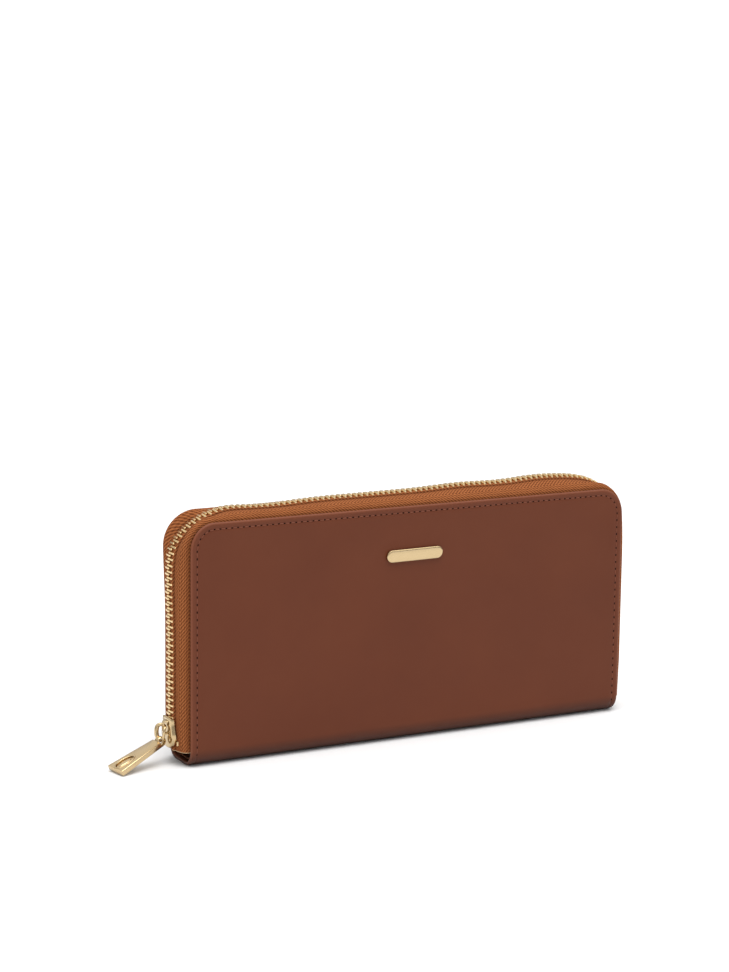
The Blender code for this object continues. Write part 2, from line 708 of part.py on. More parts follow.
def make_coin_slider(finishes, carrier, pivot):
    """Two plates, a post and a bridge over the coin zip, and a flat pull with a window."""
    gold = finishes["gold"]
    left = COIN_SLIDER_X - COIN_SLIDER_BACK
    right = COIN_SLIDER_X + COIN_SLIDER_FRONT
    slot = COIN_SLIDER_SLOT
    plate = COIN_SLIDER_PLATE
    half = COIN_SLIDER_HALF_WIDTH
    top = COIN_CHAIN_Z + slot + plate
    upper = box((left, -half, COIN_CHAIN_Z + slot), (right, half, top))
    body = add_object("coin_slider_body", upper, gold, carrier)
    lower = box((left, -half, COIN_CHAIN_Z - slot - plate), (right, half, COIN_CHAIN_Z - slot))
    cut_or_join(body, add_object("coin_plate_tool", lower, gold, carrier), "UNION")
    sunk = slot + plate / 2
    post_low = (left + plate / 2, -COIN_POST_HALF_WIDTH, COIN_CHAIN_Z - sunk)
    post_high = (COIN_SLIDER_X - plate, COIN_POST_HALF_WIDTH, COIN_CHAIN_Z + sunk)
    cut_or_join(body, add_object("coin_post_tool", box(post_low, post_high), gold, carrier), "UNION")
    bar = COIN_BRIDGE_BAR
    span = COIN_BRIDGE_SPAN
    under = top + COIN_BRIDGE_GAP
    foot = top - plate / 2
    arch = [
        (COIN_SLIDER_X - span, foot),
        (COIN_SLIDER_X - span, under + bar),
        (COIN_SLIDER_X + span, under + bar),
        (COIN_SLIDER_X + span, foot),
        (COIN_SLIDER_X + span - bar, foot),
        (COIN_SLIDER_X + span - bar, under),
        (COIN_SLIDER_X - span + bar, under),
        (COIN_SLIDER_X - span + bar, foot),
    ]
    bridge = slab_xz(arch, 1, -COIN_BRIDGE_HALF_WIDTH, COIN_BRIDGE_HALF_WIDTH)
    cut_or_join(body, add_object("coin_bridge_tool", bridge, gold, carrier), "UNION")

    def slab(outline, half_height):
        rings = []
        for z in (coin_pull_z() - half_height, coin_pull_z() + half_height):
            rings.append([(COIN_SLIDER_X + u * MM, v * MM, z) for u, v in outline])
        return loft(rings)

    pull = add_object("coin_pull", slab(COIN_PULL_OUTLINE, COIN_PULL_HALF), gold, pivot)
    window = add_object("window_tool", slab(COIN_PULL_WINDOW, 2 * COIN_PULL_HALF), gold, pivot)
    cut_or_join(pull, window, "DIFFERENCE")


# Side gussets


def make_gussets(finishes):
    """Each is a strip of cloth folded once towards the middle of the wallet."""
    near = COIN_HALF_DEPTH + CLEARANCE
    far = near + 2 * GUSSET_LAYER + 0.5 * MM
    edge = GUSSET_HALF_WIDTH
    fold = edge - GUSSET_DEPTH
    section = [
        (edge, far),
        (fold, far),
        (fold, near),
        (edge, near),
        (edge, near + GUSSET_LAYER),
        (fold + GUSSET_LAYER, near + GUSSET_LAYER),
        (fold + GUSSET_LAYER, far - GUSSET_LAYER),
        (edge, far - GUSSET_LAYER),
    ]
    for end_name, end in (("left", -1), ("right", 1)):
        for side_name, side in SIDES.items():
            rings = [[(end * x, side * y, z) for x, y in section] for z in (GUSSET_FOOT, GUSSET_TOP)]
            add_object(f"{end_name}_gusset_{side_name}", loft(rings), finishes["lining"], None)


def main():
    for item in list(bpy.data.objects):
        bpy.data.objects.remove(item, do_unlink=True)
    finishes = make_materials()
    hinges = {
        name: add_empty(f"{name}_cover_hinge", (0.0, side * HINGE_Y, HINGE_Z))
        for name, side in SIDES.items()
    }
    carrier = add_empty("zip_slide_axis", (CHAIN_X, 0.0, SLIDER_BOTTOM), hinges["back"])
    ring_empty = add_empty("ring_pivot", ring_pivot(), carrier)
    tab_empty = add_empty("tab_pivot", tab_pivot(), ring_empty)
    coin_carrier = add_empty("coin_slide_axis", (COIN_SLIDER_X, 0.0, COIN_CHAIN_Z))
    coin_pivot = add_empty("coin_pull_pivot", (COIN_SLIDER_X, 0.0, coin_pull_z()), coin_carrier)

    make_spine(finishes)
    for name, hinge in hinges.items():
        make_cover_leather(name, finishes, hinge)
        make_cover_sheets(name, finishes, hinge)
        make_tape(name, finishes, hinge)
        make_teeth(name, finishes, hinge)
        make_top_stop(name, finishes, hinge)
    make_badge(finishes, hinges["front"])
    make_bottom_stop(finishes, hinges["back"])
    make_slider(finishes, carrier)
    make_bridge(finishes, carrier)
    make_ring(finishes, ring_empty)
    make_tab(finishes, tab_empty)
    make_coin_pocket(finishes)
    make_coin_zip(finishes)
    make_coin_slider(finishes, coin_carrier, coin_pivot)
    make_gussets(finishes)


main()
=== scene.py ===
"""The looks of a brown leather zip-around wallet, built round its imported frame."""

import bisect
import json
import math

import bmesh
import bpy
from mathutils import Matrix, Vector


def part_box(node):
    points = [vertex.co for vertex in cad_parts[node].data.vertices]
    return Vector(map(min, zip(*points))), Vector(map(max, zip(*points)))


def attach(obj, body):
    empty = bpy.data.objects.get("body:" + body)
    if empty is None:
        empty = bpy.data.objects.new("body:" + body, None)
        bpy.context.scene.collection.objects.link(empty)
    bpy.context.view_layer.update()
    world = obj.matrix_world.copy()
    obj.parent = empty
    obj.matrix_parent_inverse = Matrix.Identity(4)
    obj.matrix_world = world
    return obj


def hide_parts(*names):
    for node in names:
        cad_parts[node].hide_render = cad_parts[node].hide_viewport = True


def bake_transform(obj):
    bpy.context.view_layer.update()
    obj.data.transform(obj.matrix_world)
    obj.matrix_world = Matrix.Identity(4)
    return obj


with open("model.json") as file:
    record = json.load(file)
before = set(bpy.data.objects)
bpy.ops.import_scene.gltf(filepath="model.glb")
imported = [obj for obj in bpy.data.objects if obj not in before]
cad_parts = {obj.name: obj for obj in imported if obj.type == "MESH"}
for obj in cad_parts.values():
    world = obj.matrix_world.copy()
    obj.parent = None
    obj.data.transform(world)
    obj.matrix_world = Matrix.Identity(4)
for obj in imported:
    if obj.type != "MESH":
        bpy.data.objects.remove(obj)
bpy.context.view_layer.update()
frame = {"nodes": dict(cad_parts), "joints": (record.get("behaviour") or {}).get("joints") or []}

MM = 0.001
JOINTS = {joint["name"]: joint for joint in frame["joints"]}
SIDES = {"front": -1, "back": 1}

# The closed wallet, read from the frame except for the radius of its top corners
cover_low, cover_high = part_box("front_cover_leather")
HALF_WIDTH = cover_high.x
PANEL_TOP = cover_high.z
HALF_THICKNESS = -cover_low.y
SPINE_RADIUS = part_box("spine_leather")[1].z
FLAT_HALF = HALF_THICKNESS - SPINE_RADIUS
CORNER_RADIUS = 10.5 * MM
SPINE_ARC = SPINE_RADIUS * math.pi / 2
CORNER_Z = PANEL_TOP - CORNER_RADIUS
CORNER_X = HALF_WIDTH - CORNER_RADIUS

# Leather and its sewing. The stitches are longest on the sides, and shortest along the top
LEATHER = 1.0 * MM
LINING = 0.4 * MM
SHELL_STEP = 0.7125 * MM
LEFT_INSET = 0.8 * MM
RIGHT_INSET = 0.15 * MM
TOP_DROP = 0.2 * MM
TOP_LEAN = 0.0087
BACK_FULLNESS = 0.8 * MM
STITCH_INSET = 2.5 * MM
STITCH_PITCH = 2.85 * MM
SIDE_STITCH = 2.98 * MM
CORNER_STITCH = 2.6 * MM
TOP_STITCH = 2.45 * MM
STITCH_FOOT = 5.4 * MM
STITCH_SHARE = 0.84
GROOVE_DEPTH = 0.16 * MM
INNER_STITCH_DEPTH = 2.72 * MM
PUCKER_DEPTH = 0.075 * MM
PUCKER_REACH = 0.55 * MM
THREAD_RADIUS = 0.2 * MM
THREAD_SINK = 0.42 * MM
HOLE_LENGTH = 1.0 * MM
HOLE_WIDTH = 0.58 * MM

# Outer zip. The stops are pressed down on the tape, which lies lower there than the chain does
CHAIN_THICKNESS = 2.2 * MM
CHAIN_OFFSET = -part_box("front_zip_teeth")[0].x - HALF_WIDTH - CHAIN_THICKNESS / 2
TOOTH_PITCH = 2.4 * MM
CHAIN_START = 13.5 * MM
CHAIN_END = 12.5 * MM
TAPE_FOOT = 6.3 * MM
TAPE_STEP = 1.0 * MM
FRAY_LENGTH = 0.28 * MM
STOP_SEAT = Vector((1.0 * MM, 0.0, 0.0))

# Slider and pull tab. The oval is given by its middle along the tab and its two half lengths
PLATE = 0.8 * MM
SLIDER_SEAT = 0.35 * MM
BRIDGE_SEAT = 1.15 * MM
TAB_SLOPE = math.radians(21.4)
TAB_LENGTH = 22.1 * MM
TAB_START = 1.2 * MM
TAB_NARROW = 2.8 * MM
TAB_WIDE = 5.0 * MM
TAB_HALF = 1.1 * MM
TAB_BEVEL = 0.4 * MM
TAB_OVAL = (0.775 * TAB_LENGTH, 4.6 * MM, 2.4 * MM)

# Inside
LEAF_POINTS = 19
COIN_PITCH = 1.5 * MM
COIN_CHAIN_START = -79.5 * MM

# Colours and the slope of the weave
BLACK = (0.0, 0.0, 0.0)
WHITE = (1.0, 1.0, 1.0)
# Colour of the painted shade low on the leather's roll, near the floor
UNDERSIDE_SHADE = (0.020, 0.007, 0.004)
# Colour of the painted shade in the tape's fold and groove
CREASE_SHADE = (0.045, 0.010, 0.003)
CHEVRON_SLOPE = 1.3


# Node materials


class Nodes:
    """A short way to build the nodes of a material or of the world."""

    def __init__(self, owner, shader="Principled BSDF"):
        owner.use_nodes = True
        self.owner = owner
        self.tree = owner.node_tree
        self.shader = self.tree.nodes[shader]

    def feed(self, socket, value):
        """Links an output to a socket, or gives the socket a plain value. A colour gets its alpha here."""
        if hasattr(value, "is_output"):
            self.tree.links.new(value, socket)
        elif isinstance(value, tuple):
            socket.default_value = (*value, 1.0)
        else:
            socket.default_value = value

    def add(self, kind, output, inputs, **settings):
        """Adds a node, feeds its inputs and gives one of its outputs."""
        node = self.tree.nodes.new("ShaderNode" + kind)
        for key, value in settings.items():
            setattr(node, key, value)
        for key, value in inputs.items():
            self.feed(node.inputs[key], value)
        return node.outputs[output]

    def math(self, operation, *values):
        return self.add("Math", 0, dict(enumerate(values)), operation=operation)

    def times(self, first, second):
        return self.math("MULTIPLY", first, second)

    def span(self, value, low, high):
        """Maps 0..1 to low..high."""
        return self.math("MULTIPLY_ADD", value, high - low, low)

    def wave(self, value, length):
        return self.math("SINE", self.times(value, 2 * math.pi / length))

    def place(self, kind="Object"):
        return self.add("TexCoord", kind, {})

    def part(self, place, axis):
        return self.add("SeparateXYZ", axis, {0: place})

    def attribute(self, name):
        return self.add("Attribute", "Fac", {}, attribute_name=name)

    def noise(self, place, scale, detail=3.0, roughness=0.5):
        inputs = {"Vector": place, "Scale": scale, "Detail": detail, "Roughness": roughness}
        return self.add("TexNoise", "Fac", inputs)

    def cells(self, place, scale):
        inputs = {"Vector": place, "Scale": scale}
        return self.add("TexVoronoi", "Distance", inputs, feature="DISTANCE_TO_EDGE")

    def ramp(self, factor, *stops):
        """Maps a factor to colours, given as (position, colour) stops."""
        node = self.tree.nodes.new("ShaderNodeValToRGB")
        self.feed(node.inputs["Fac"], factor)
        elements = node.color_ramp.elements
        while len(elements) < len(stops):
            elements.new(1.0)
        for element, (position, color) in zip(elements, stops):
            element.position = position
            element.color = (*color, 1.0)
        return node.outputs["Color"]

    def mix(self, factor, first, second):
        return self.add("Mix", 2, {0: factor, 6: first, 7: second}, data_type="RGBA")

    def bump(self, height, distance, strength=1.0, normal=None):
        inputs = {"Strength": strength, "Distance": distance, "Height": height}
        if normal:
            inputs["Normal"] = normal
        return self.add("Bump", "Normal", inputs)

    def set(self, **inputs):
        for key, value in inputs.items():
            self.feed(self.shader.inputs[key.replace("_", " ")], value)
        return self.owner


def leather(name, light, dark, rim_highlight, grain, shine=0.2):
    """Smooth calf leather: faint cloudy colour and fine pores, with a painted highlight along the edges and
    painted shade low on the roll.
    """
    n = Nodes(bpy.data.materials.new(name))
    place = n.place()
    cloud = n.noise(place, 28.0, 4.0, 0.55)
    fibre = n.noise(place, 900.0, 3.0, 0.6)
    tone = n.mix(n.ramp(cloud, (0.3, BLACK), (0.7, WHITE)), dark, light)
    tone = n.mix(n.times(fibre, 0.2), tone, dark)
    # Painted highlight: the skin is made paler along its edges, where the rounded edge catches the light.
    tone = n.mix(n.times(n.attribute("rim"), n.span(cloud, 0.7, 1.1)), tone, rim_highlight)
    # Painted shade: the skin is darkened low on its roll towards the floor, and a little on its inner faces.
    tone = n.mix(n.attribute("under"), tone, UNDERSIDE_SHADE)
    pores = n.math("MINIMUM", n.cells(place, 1500.0), 0.25)
    normal = n.bump(n.math("ADD", n.times(fibre, 0.6), pores), grain)
    normal = n.bump(n.noise(place, 90.0, 2.0), 0.12 * MM, 0.3, normal)
    rough = n.span(n.noise(place, 60.0, 3.0), 0.42, 0.56)
    return n.set(Base_Color=tone, Roughness=rough, Normal=normal, Specular_IOR_Level=shine)


def herringbone(name, light, dark, column, fold, pitch, depth):
    """Woven tape: chevrons in columns across, with single yarns showing in the stripes."""
    n = Nodes(bpy.data.materials.new(name))
    place = n.place()
    along = n.part(n.place("UV"), 0)
    across = n.part(n.place("UV"), 1)
    fuzz = n.noise(place, 2400.0, 2.0)
    wander = n.span(n.noise(place, 420.0, 2.0), -0.35, 0.35)
    chevron = n.times(n.math("PINGPONG", n.math("SUBTRACT", across, fold), column), CHEVRON_SLOPE)
    diagonal = n.math("ADD", n.math("SUBTRACT", along, chevron), wander)
    stripe = n.span(n.wave(diagonal, pitch), 0.5, 1.0)
    yarn = n.span(n.wave(n.math("ADD", across, wander), pitch * 0.62), 0.5, 1.0)
    height = n.times(n.math("MULTIPLY_ADD", yarn, 0.45, stripe), 0.7)
    shade = n.math("MULTIPLY_ADD", fuzz, 0.5, n.times(height, 0.62))
    tone = n.ramp(shade, (0.3, dark), (0.85, light))
    tone = n.mix(n.times(n.noise(place, 90.0, 2.0), 0.25), tone, dark)
    # Painted shade: the tape is darkened in its fold by the leather and in its groove by the teeth.
    tone = n.mix(n.attribute("crease"), tone, CREASE_SHADE)
    normal = n.bump(fuzz, 0.05 * MM, 0.6, n.bump(height, depth))
    return n.set(Base_Color=tone, Roughness=0.9, Normal=normal, Specular_IOR_Level=0.08)


def twill(name, light, dark):
    """Fine diagonal lining cloth, drawn over the flat of the wallet."""
    n = Nodes(bpy.data.materials.new(name))
    place = n.place()
    up = n.part(place, 2)
    stripe = n.wave(n.math("ADD", n.part(place, 0), up), 0.8 * MM)
    height = n.span(n.math("MULTIPLY_ADD", n.wave(up, 0.42 * MM), 0.4, stripe), 0.5, 0.85)
    fuzz = n.noise(place, 1800.0, 2.0)
    shade = n.math("MULTIPLY_ADD", fuzz, 0.5, n.times(height, 0.6))
    tone = n.ramp(shade, (0.25, dark), (0.9, light))
    normal = n.bump(height, 0.08 * MM)
    return n.set(Base_Color=tone, Roughness=0.88, Normal=normal, Specular_IOR_Level=0.1)


def fibre_board(name, dark, light):
    """Speckled fibres, pressed flat or cut off short."""
    n = Nodes(bpy.data.materials.new(name))
    flecks = n.noise(n.place(), 700.0, 5.0, 0.7)
    tone = n.ramp(flecks, (0.35, dark), (0.7, light))
    return n.set(Base_Color=tone, Roughness=0.9, Normal=n.bump(flecks, 0.1 * MM))


def gold(name, color, deep, rough):
    """Polished plating with faint wipe marks and a deeper tone where it is less bright."""
    n = Nodes(bpy.data.materials.new(name))
    cloud = n.noise(n.place(), 160.0, 3.0)
    marks = n.span(n.noise(n.place(), 2200.0, 2.0), rough, rough + 0.12)
    tone = n.mix(n.times(cloud, 0.45), color, deep)
    return n.set(Base_Color=tone, Metallic=1.0, Roughness=marks, Normal=n.bump(cloud, 0.05 * MM, 0.5))


def thread(name, light, dark):
    """Waxed thread, with its twist showing as fine bands."""
    n = Nodes(bpy.data.materials.new(name))
    twist = n.noise(n.place(), 3800.0, 2.0)
    tone = n.ramp(twist, (0.3, dark), (0.7, light))
    return n.set(Base_Color=tone, Roughness=0.7, Normal=n.bump(twist, 0.06 * MM))


def make_materials():
    brown = (0.121, 0.0300, 0.0106)
    dark_brown = (0.107, 0.0254, 0.0089)
    pale_brown = (0.204, 0.065, 0.032)
    inside = (0.130, 0.040, 0.020)
    inside_dark = (0.100, 0.030, 0.015)
    hole = (0.010, 0.0026, 0.0015)
    hole_dark = (0.007, 0.0018, 0.001)
    orange = (0.405, 0.139, 0.047)
    dark_orange = (0.115, 0.031, 0.009)
    return {
        "leather": leather("smooth_brown_leather", brown, dark_brown, pale_brown, 0.03 * MM),
        "inner": leather("inner_brown_leather", inside, inside_dark, pale_brown, 0.05 * MM),
        "hole": leather("stitch_hole_shadow", hole, hole_dark, brown, 0.02 * MM, 0.03),
        "tape": herringbone("zip_tape_weave", orange, dark_orange, 3.6, 8.9, 1.5, 0.16 * MM),
        "fray": fibre_board("cut_tape_edge", (0.30, 0.17, 0.08), (0.62, 0.47, 0.30)),
        "lining": twill("lining_twill", (0.15, 0.055, 0.028), (0.06, 0.020, 0.010)),
        "board": fibre_board("bonded_board", (0.17, 0.10, 0.055), (0.38, 0.26, 0.16)),
        "teeth": gold("pale_gold_teeth", (0.80, 0.61, 0.34), (0.60, 0.40, 0.18), 0.24),
        "gold": gold("light_gold_plating", (0.62, 0.475, 0.275), (0.49, 0.34, 0.165), 0.15),
        "thread": thread("orange_brown_thread", (0.20, 0.050, 0.018), (0.125, 0.029, 0.010)),
    }


FINISH = make_materials()


# Mesh helpers


def add_object(name, data):
    made = bpy.data.objects.new(name, data)
    bpy.context.collection.objects.link(made)
    return made


def add_piece(name, verts, faces, finish, uvs=None, marks=None, angle=40):
    """A closed mesh with its faces turned out, smooth up to an angle, and its own UVs if given."""
    mesh = bpy.data.meshes.new(name)
    mesh.from_pydata([tuple(v) for v in verts], [], faces)
    mesh.materials.append(FINISH[finish])
    for key, values in (marks or {}).items():
        mesh.attributes.new(key, "FLOAT", "POINT").data.foreach_set("value", values)
    if uvs:
        layer = mesh.uv_layers.new(name="weave")
        for loop in mesh.loops:
            layer.data[loop.index].uv = uvs[loop.vertex_index]
    bm = bmesh.new()
    bm.from_mesh(mesh)
    bmesh.ops.recalc_face_normals(bm, faces=bm.faces)
    bm.to_mesh(mesh)
    bm.free()
    mesh.shade_smooth()
    mesh.set_sharp_from_angle(angle=math.radians(angle))
    return add_object(name, mesh)


def carry(piece, body, slot, *nodes):
    """The piece rides on a body and stands for the nodes, which it hides. The slot is not used."""
    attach(piece, body)
    if nodes:
        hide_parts(*nodes)
    return piece


def flex(piece, side_name, start, end, slot, *nodes):
    """The piece keeps its place, baked into its mesh, and stands for the nodes, which it hides. The side
    name and the slot are not used, and start and end change nothing.
    """
    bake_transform(piece)
    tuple(start)
    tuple(end)
    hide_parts(*nodes)


def ring_faces(rows, count, start=0, closed=False):
    """Faces between rows of count points; a closed loft joins its last row to its first."""
    faces = []
    for i in range(rows if closed else rows - 1):
        low = start + i * count
        high = start + ((i + 1) % rows) * count
        for j in range(count):
            k = (j + 1) % count
            faces.append((low + j, low + k, high + k, high + j))
    if not closed:
        for end in (start, start + (rows - 1) * count):
            faces.append(tuple(range(end, end + count)))
    return faces


def loft(name, rings, finish, closed=False, uvs=None, marks=None, angle=40):
    """One solid through rings of points, with flat ends."""
    verts = [point for ring in rings for point in ring]
    faces = ring_faces(len(rings), len(rings[0]), closed=closed)
    return add_piece(name, verts, faces, finish, uvs=uvs, marks=marks, angle=angle)


class Batch:
    """Collects many small closed solids into one piece."""

    def __init__(self):
        self.verts = []
        self.faces = []

    def loft(self, rings, closed=False):
        start = len(self.verts)
        self.verts += [point for ring in rings for point in ring]
        self.faces += ring_faces(len(rings), len(rings[0]), start, closed)

    def make(self, name, finish, angle=50):
        return add_piece(name, self.verts, self.faces, finish, angle=angle)


def clamp(value, low=0.0, high=1.0):
    return max(low, min(high, value))


def even(start, end, count):
    """Values that cut a stretch into a number of even steps, both ends included."""
    return [start + (end - start) * i / count for i in range(count + 1)]


def circle(steps):
    """The cosine and sine of even turns round a circle."""
    turns = [2 * math.pi * i / steps for i in range(steps)]
    return [(math.cos(turn), math.sin(turn)) for turn in turns]


def arc(centre_u, centre_v, radius, start_deg, end_deg, steps):
    """Points round a part of a circle, both ends included."""
    turns = [math.radians(angle) for angle in even(start_deg, end_deg, steps)]
    return [(centre_u + radius * math.cos(turn), centre_v + radius * math.sin(turn)) for turn in turns]


def round_box(half_u, half_v, radius):
    """A rectangle about the origin with round corners, as (u, v) points."""
    points = []
    for su, sv, start in ((1, 1, 0), (-1, 1, 90), (-1, -1, 180), (1, -1, 270)):
        points += arc(su * (half_u - radius), sv * (half_v - radius), radius, start, start + 90, 3)
    return points


def mirrored(half):
    """A closed outline from its half, by turning over the second coordinate."""
    return half + [(u, -v) for u, v in half[::-1]]


def round_loop(points, times=2, closed=True):
    """Cuts the corners of a line so that it reads as a smooth curve. An open line keeps its ends."""
    for _ in range(times):
        cut = []
        for a, b in zip(points, points[1:] + points[:1]):
            cut += [tuple(Vector(a).lerp(Vector(b), share)) for share in (0.25, 0.75)]
        points = cut if closed else [points[0], *cut[1:-3], points[-1]]
    return points


def inset_loop(points, amount):
    """Moves a closed flat outline inwards."""
    after = points[1:] + points[:1]
    before = points[-1:] + points[:-1]
    area = sum(a[0] * b[1] - b[0] * a[1] for a, b in zip(points, after))
    inwards = math.copysign(amount, area)
    moved = []
    for last, here, following in zip(before, points, after):
        ahead = (Vector(following) - Vector(last)).normalized()
        moved.append(tuple(Vector(here) + Vector((-ahead.y, ahead.x)) * inwards))
    return moved


def heading(points, i):
    """Which way an open line runs at one of its points. Its length has no meaning."""
    return Vector(points[min(i + 1, len(points) - 1)]) - Vector(points[max(i - 1, 0)])


def stack(outline, levels, place):
    """Rings of a plate. For each (inset in mm, level) the outline is drawn in and put in its place."""
    rings = []
    for inset, level in levels:
        rings.append([place(u, v, level) for u, v in inset_loop(outline, inset * MM)])
    return rings


def offset_line(line, half_widths):
    """Both faces of a strip whose middle is a line of (u, v) points, as one closed section."""
    upper = []
    lower = []
    for i, half in enumerate(half_widths):
        ahead = heading(line, i)
        normal = Vector((-ahead.y, ahead.x)).normalized()
        upper.append(tuple(Vector(line[i]) + normal * half))
        lower.append(tuple(Vector(line[i]) - normal * half))
    return upper + lower[::-1]


def soft_box(low, high, radius):
    """Rings of a box with all its edges rounded, stacked along Z."""
    x0, y0, z0 = low
    x1, y1, z1 = high
    levels = [(radius, 0.0), (0.3 * radius, 0.3 * radius), (0.0, radius)]
    levels += [(inset, z1 - z0 - height) for inset, height in levels[::-1]]
    rings = []
    for inset, height in levels:
        loop = round_box((x1 - x0) / 2 - inset, (y1 - y0) / 2 - inset, radius - inset)
        rings.append([((x0 + x1) / 2 + u, (y0 + y1) / 2 + v, z0 + height) for u, v in loop])
    return rings


def sweep_xz(path, half_widths, half_thick):
    """Rings of a rounded bar that follows a path of (x, z) points and is wide along Y."""
    rings = []
    for i, (x, z) in enumerate(path):
        ahead = heading(path, i)
        normal = Vector((-ahead.y, ahead.x)).normalized()
        section = round_box(half_widths[i], half_thick, half_thick * 0.75)
        rings.append([(x + normal.x * v, u, z + normal.y * v) for u, v in section])
    return rings


def boolean(piece, tool, operation):
    """Joins or cuts with an exact Boolean, applied, and removes the tool."""
    step = piece.modifiers.new("step", "BOOLEAN")
    step.operation = operation
    step.solver = "EXACT"
    step.object = tool
    bpy.context.view_layer.update()
    shape = bpy.data.meshes.new_from_object(piece.evaluated_get(bpy.context.evaluated_depsgraph_get()))
    piece.modifiers.clear()
    piece.data = shape
    bpy.data.objects.remove(tool, do_unlink=True)
    shape.shade_smooth()
    shape.set_sharp_from_angle(angle=math.radians(35))


# The leather shell: a flat sheet with round top corners, bent round half of the spine


def lean(x, rise, side):
    """The front cover's top edge is a little lower to the right, as sewn covers never sit quite true."""
    if side > 0:
        return 0.0
    share = max(0.0, rise) / (PANEL_TOP - SPINE_RADIUS)
    return -share * (TOP_DROP + TOP_LEAN * x)


def on_sheet(x, v, depth, side):
    """A point of the developed sheet, v up from the middle of the spine, at some depth under the skin."""
    if v <= FLAT_HALF:
        return (x, side * v, depth)
    if v <= FLAT_HALF + SPINE_ARC:
        turn = (v - FLAT_HALF) / SPINE_RADIUS
        fullness = BACK_FULLNESS * math.sin(2 * turn) ** 2 if side > 0 else 0.0
        reach = SPINE_RADIUS + fullness - depth
        return (x, side * (FLAT_HALF + reach * math.sin(turn)), SPINE_RADIUS - reach * math.cos(turn))
    rise = v - FLAT_HALF - SPINE_ARC
    return (x, side * (HALF_THICKNESS - depth), SPINE_RADIUS + rise + lean(x, rise, side))


def sheet_v(z):
    """The height on the developed sheet of a point at z on the flat of a cover."""
    return z - SPINE_RADIUS + FLAT_HALF + SPINE_ARC


def spine_roll(side):
    """Where the leather leaves the flat of the spine, and where it reaches the flat of a cover."""
    return (0.0, side * FLAT_HALF, 0.0), (0.0, side * HALF_THICKNESS, SPINE_RADIUS)


class EdgeRun:
    """Runs up the left edge, round the corners, over the top and down the right edge.

    The run is measured along the line that lies inset inside the edge, from a foot on the left to a
    foot on the right, both given as heights on the developed sheet. left and right say how much
    narrower the sheet is cut at those edges.
    """

    def __init__(self, inset, foot_v, end_v=None, left=0.0, right=0.0):
        self.inset = inset
        self.left = left
        self.right = right
        self.foot = foot_v
        self.rise = sheet_v(CORNER_Z) - foot_v
        self.fall = sheet_v(CORNER_Z) - (foot_v if end_v is None else end_v)
        self.bend = (CORNER_RADIUS - inset) * math.pi / 2
        self.top = 2 * CORNER_X
        self.length = self.rise + self.fall + 2 * self.bend + self.top

    def steps(self, side, corner, top):
        """Runs that cut each stretch into even steps, of about the given lengths."""
        runs = [0.0]
        stretches = (self.rise, self.bend, self.top, self.bend, self.fall)
        for length, step in zip(stretches, (side, corner, top, corner, side)):
            runs += even(runs[-1], runs[-1] + length, round(length / step))[1:]
        return runs

    def at(self, run, inset):
        """(x, v, outward x, outward v) at a run along the line, and inset from the edge."""
        first = run - self.rise
        over = first - self.bend
        second = over - self.top
        bent = clamp(first, 0.0, self.bend) + clamp(second, 0.0, self.bend)
        turn = math.pi - bent / (CORNER_RADIUS - self.inset)
        out_x = math.cos(turn)
        out_v = math.sin(turn)
        reach = CORNER_RADIUS - inset
        cut = self.left if out_x < 0 else -self.right
        x = clamp(over, 0.0, self.top) - CORNER_X + reach * out_x + cut * abs(out_x)
        v = sheet_v(CORNER_Z) + min(0.0, first) - max(0.0, second - self.bend) + reach * out_v
        return x, v, out_x, out_v


# (inset from the edge, depth under the skin) from the inside face, round the edge, to the outside
SHELL_PROFILE = [
    (7.0, 1.0), (4.0, 1.0), (3.7, 1.26), (1.2, 1.3), (0.45, 1.26), (0.15, 1.1), (0.02, 0.85), (0.0, 0.6),
    (0.06, 0.36), (0.2, 0.16), (0.45, 0.02), (0.8, -0.05), (1.3, -0.06), (1.8, -0.01), (2.15, 0.07),
    (2.35, 0.13), (2.5, 0.16), (2.65, 0.13), (2.85, 0.07), (3.2, 0.01), (3.9, -0.03), (5.2, 0.0), (7.0, 0.0),
]


def stitch_run():
    """The line of the edge stitching, from near the foot on the left to the same on the right."""
    foot = FLAT_HALF + SPINE_RADIUS * math.acos(1 - STITCH_FOOT / SPINE_RADIUS)
    return EdgeRun(STITCH_INSET, foot, left=LEFT_INSET, right=RIGHT_INSET)


def hole_runs(sewn):
    """Where the needle went through along the edge: longer stitches up the sides than along the top."""
    return sewn.steps(SIDE_STITCH, CORNER_STITCH, TOP_STITCH)


def pucker(run, inset, sewn, holes):
    """How far the skin is drawn down round each stitch hole."""
    offset = run - sewn.foot
    after = bisect.bisect_right(holes, offset)
    if offset < 0 or after >= len(holes):
        return 0.0
    share = (offset - holes[after - 1]) / (holes[after] - holes[after - 1])
    spread = math.exp(-(((inset - STITCH_INSET) / PUCKER_REACH) ** 2))
    return PUCKER_DEPTH * spread * math.cos(2 * math.pi * share)


def painted_edge_highlight(inset):
    """How much painted highlight the skin gets where its rounded edge catches the light: most at the very
    edge, and a little out to the stitches.
    """
    near = clamp(1.0 - inset / (0.8 * MM))
    wide = clamp(1.0 - inset / (2.6 * MM))
    return 0.7 * near + 0.22 * wide


def shell_faces(rows, rise_rows):
    """The faces of the edge strip, of the two panels inside it and of the cut along the spine."""
    count = len(SHELL_PROFILE)
    faces = []
    for i in range(rows - 1):
        for j in range(count - 1):
            a = i * count + j
            faces.append((a, a + 1, a + count + 1, a + count))
    for j in (0, count - 1):
        for i in range(rise_rows):
            low = i * count + j
            other = (rows - 1 - i) * count + j
            faces.append((low, low + count, other - count, other))
        faces.append(tuple(i * count + j for i in range(rise_rows, rows - rise_rows)))
    last = (rows - 1) * count
    faces.append((*range(count), *range(last + count - 1, last - 1, -1)))
    return faces


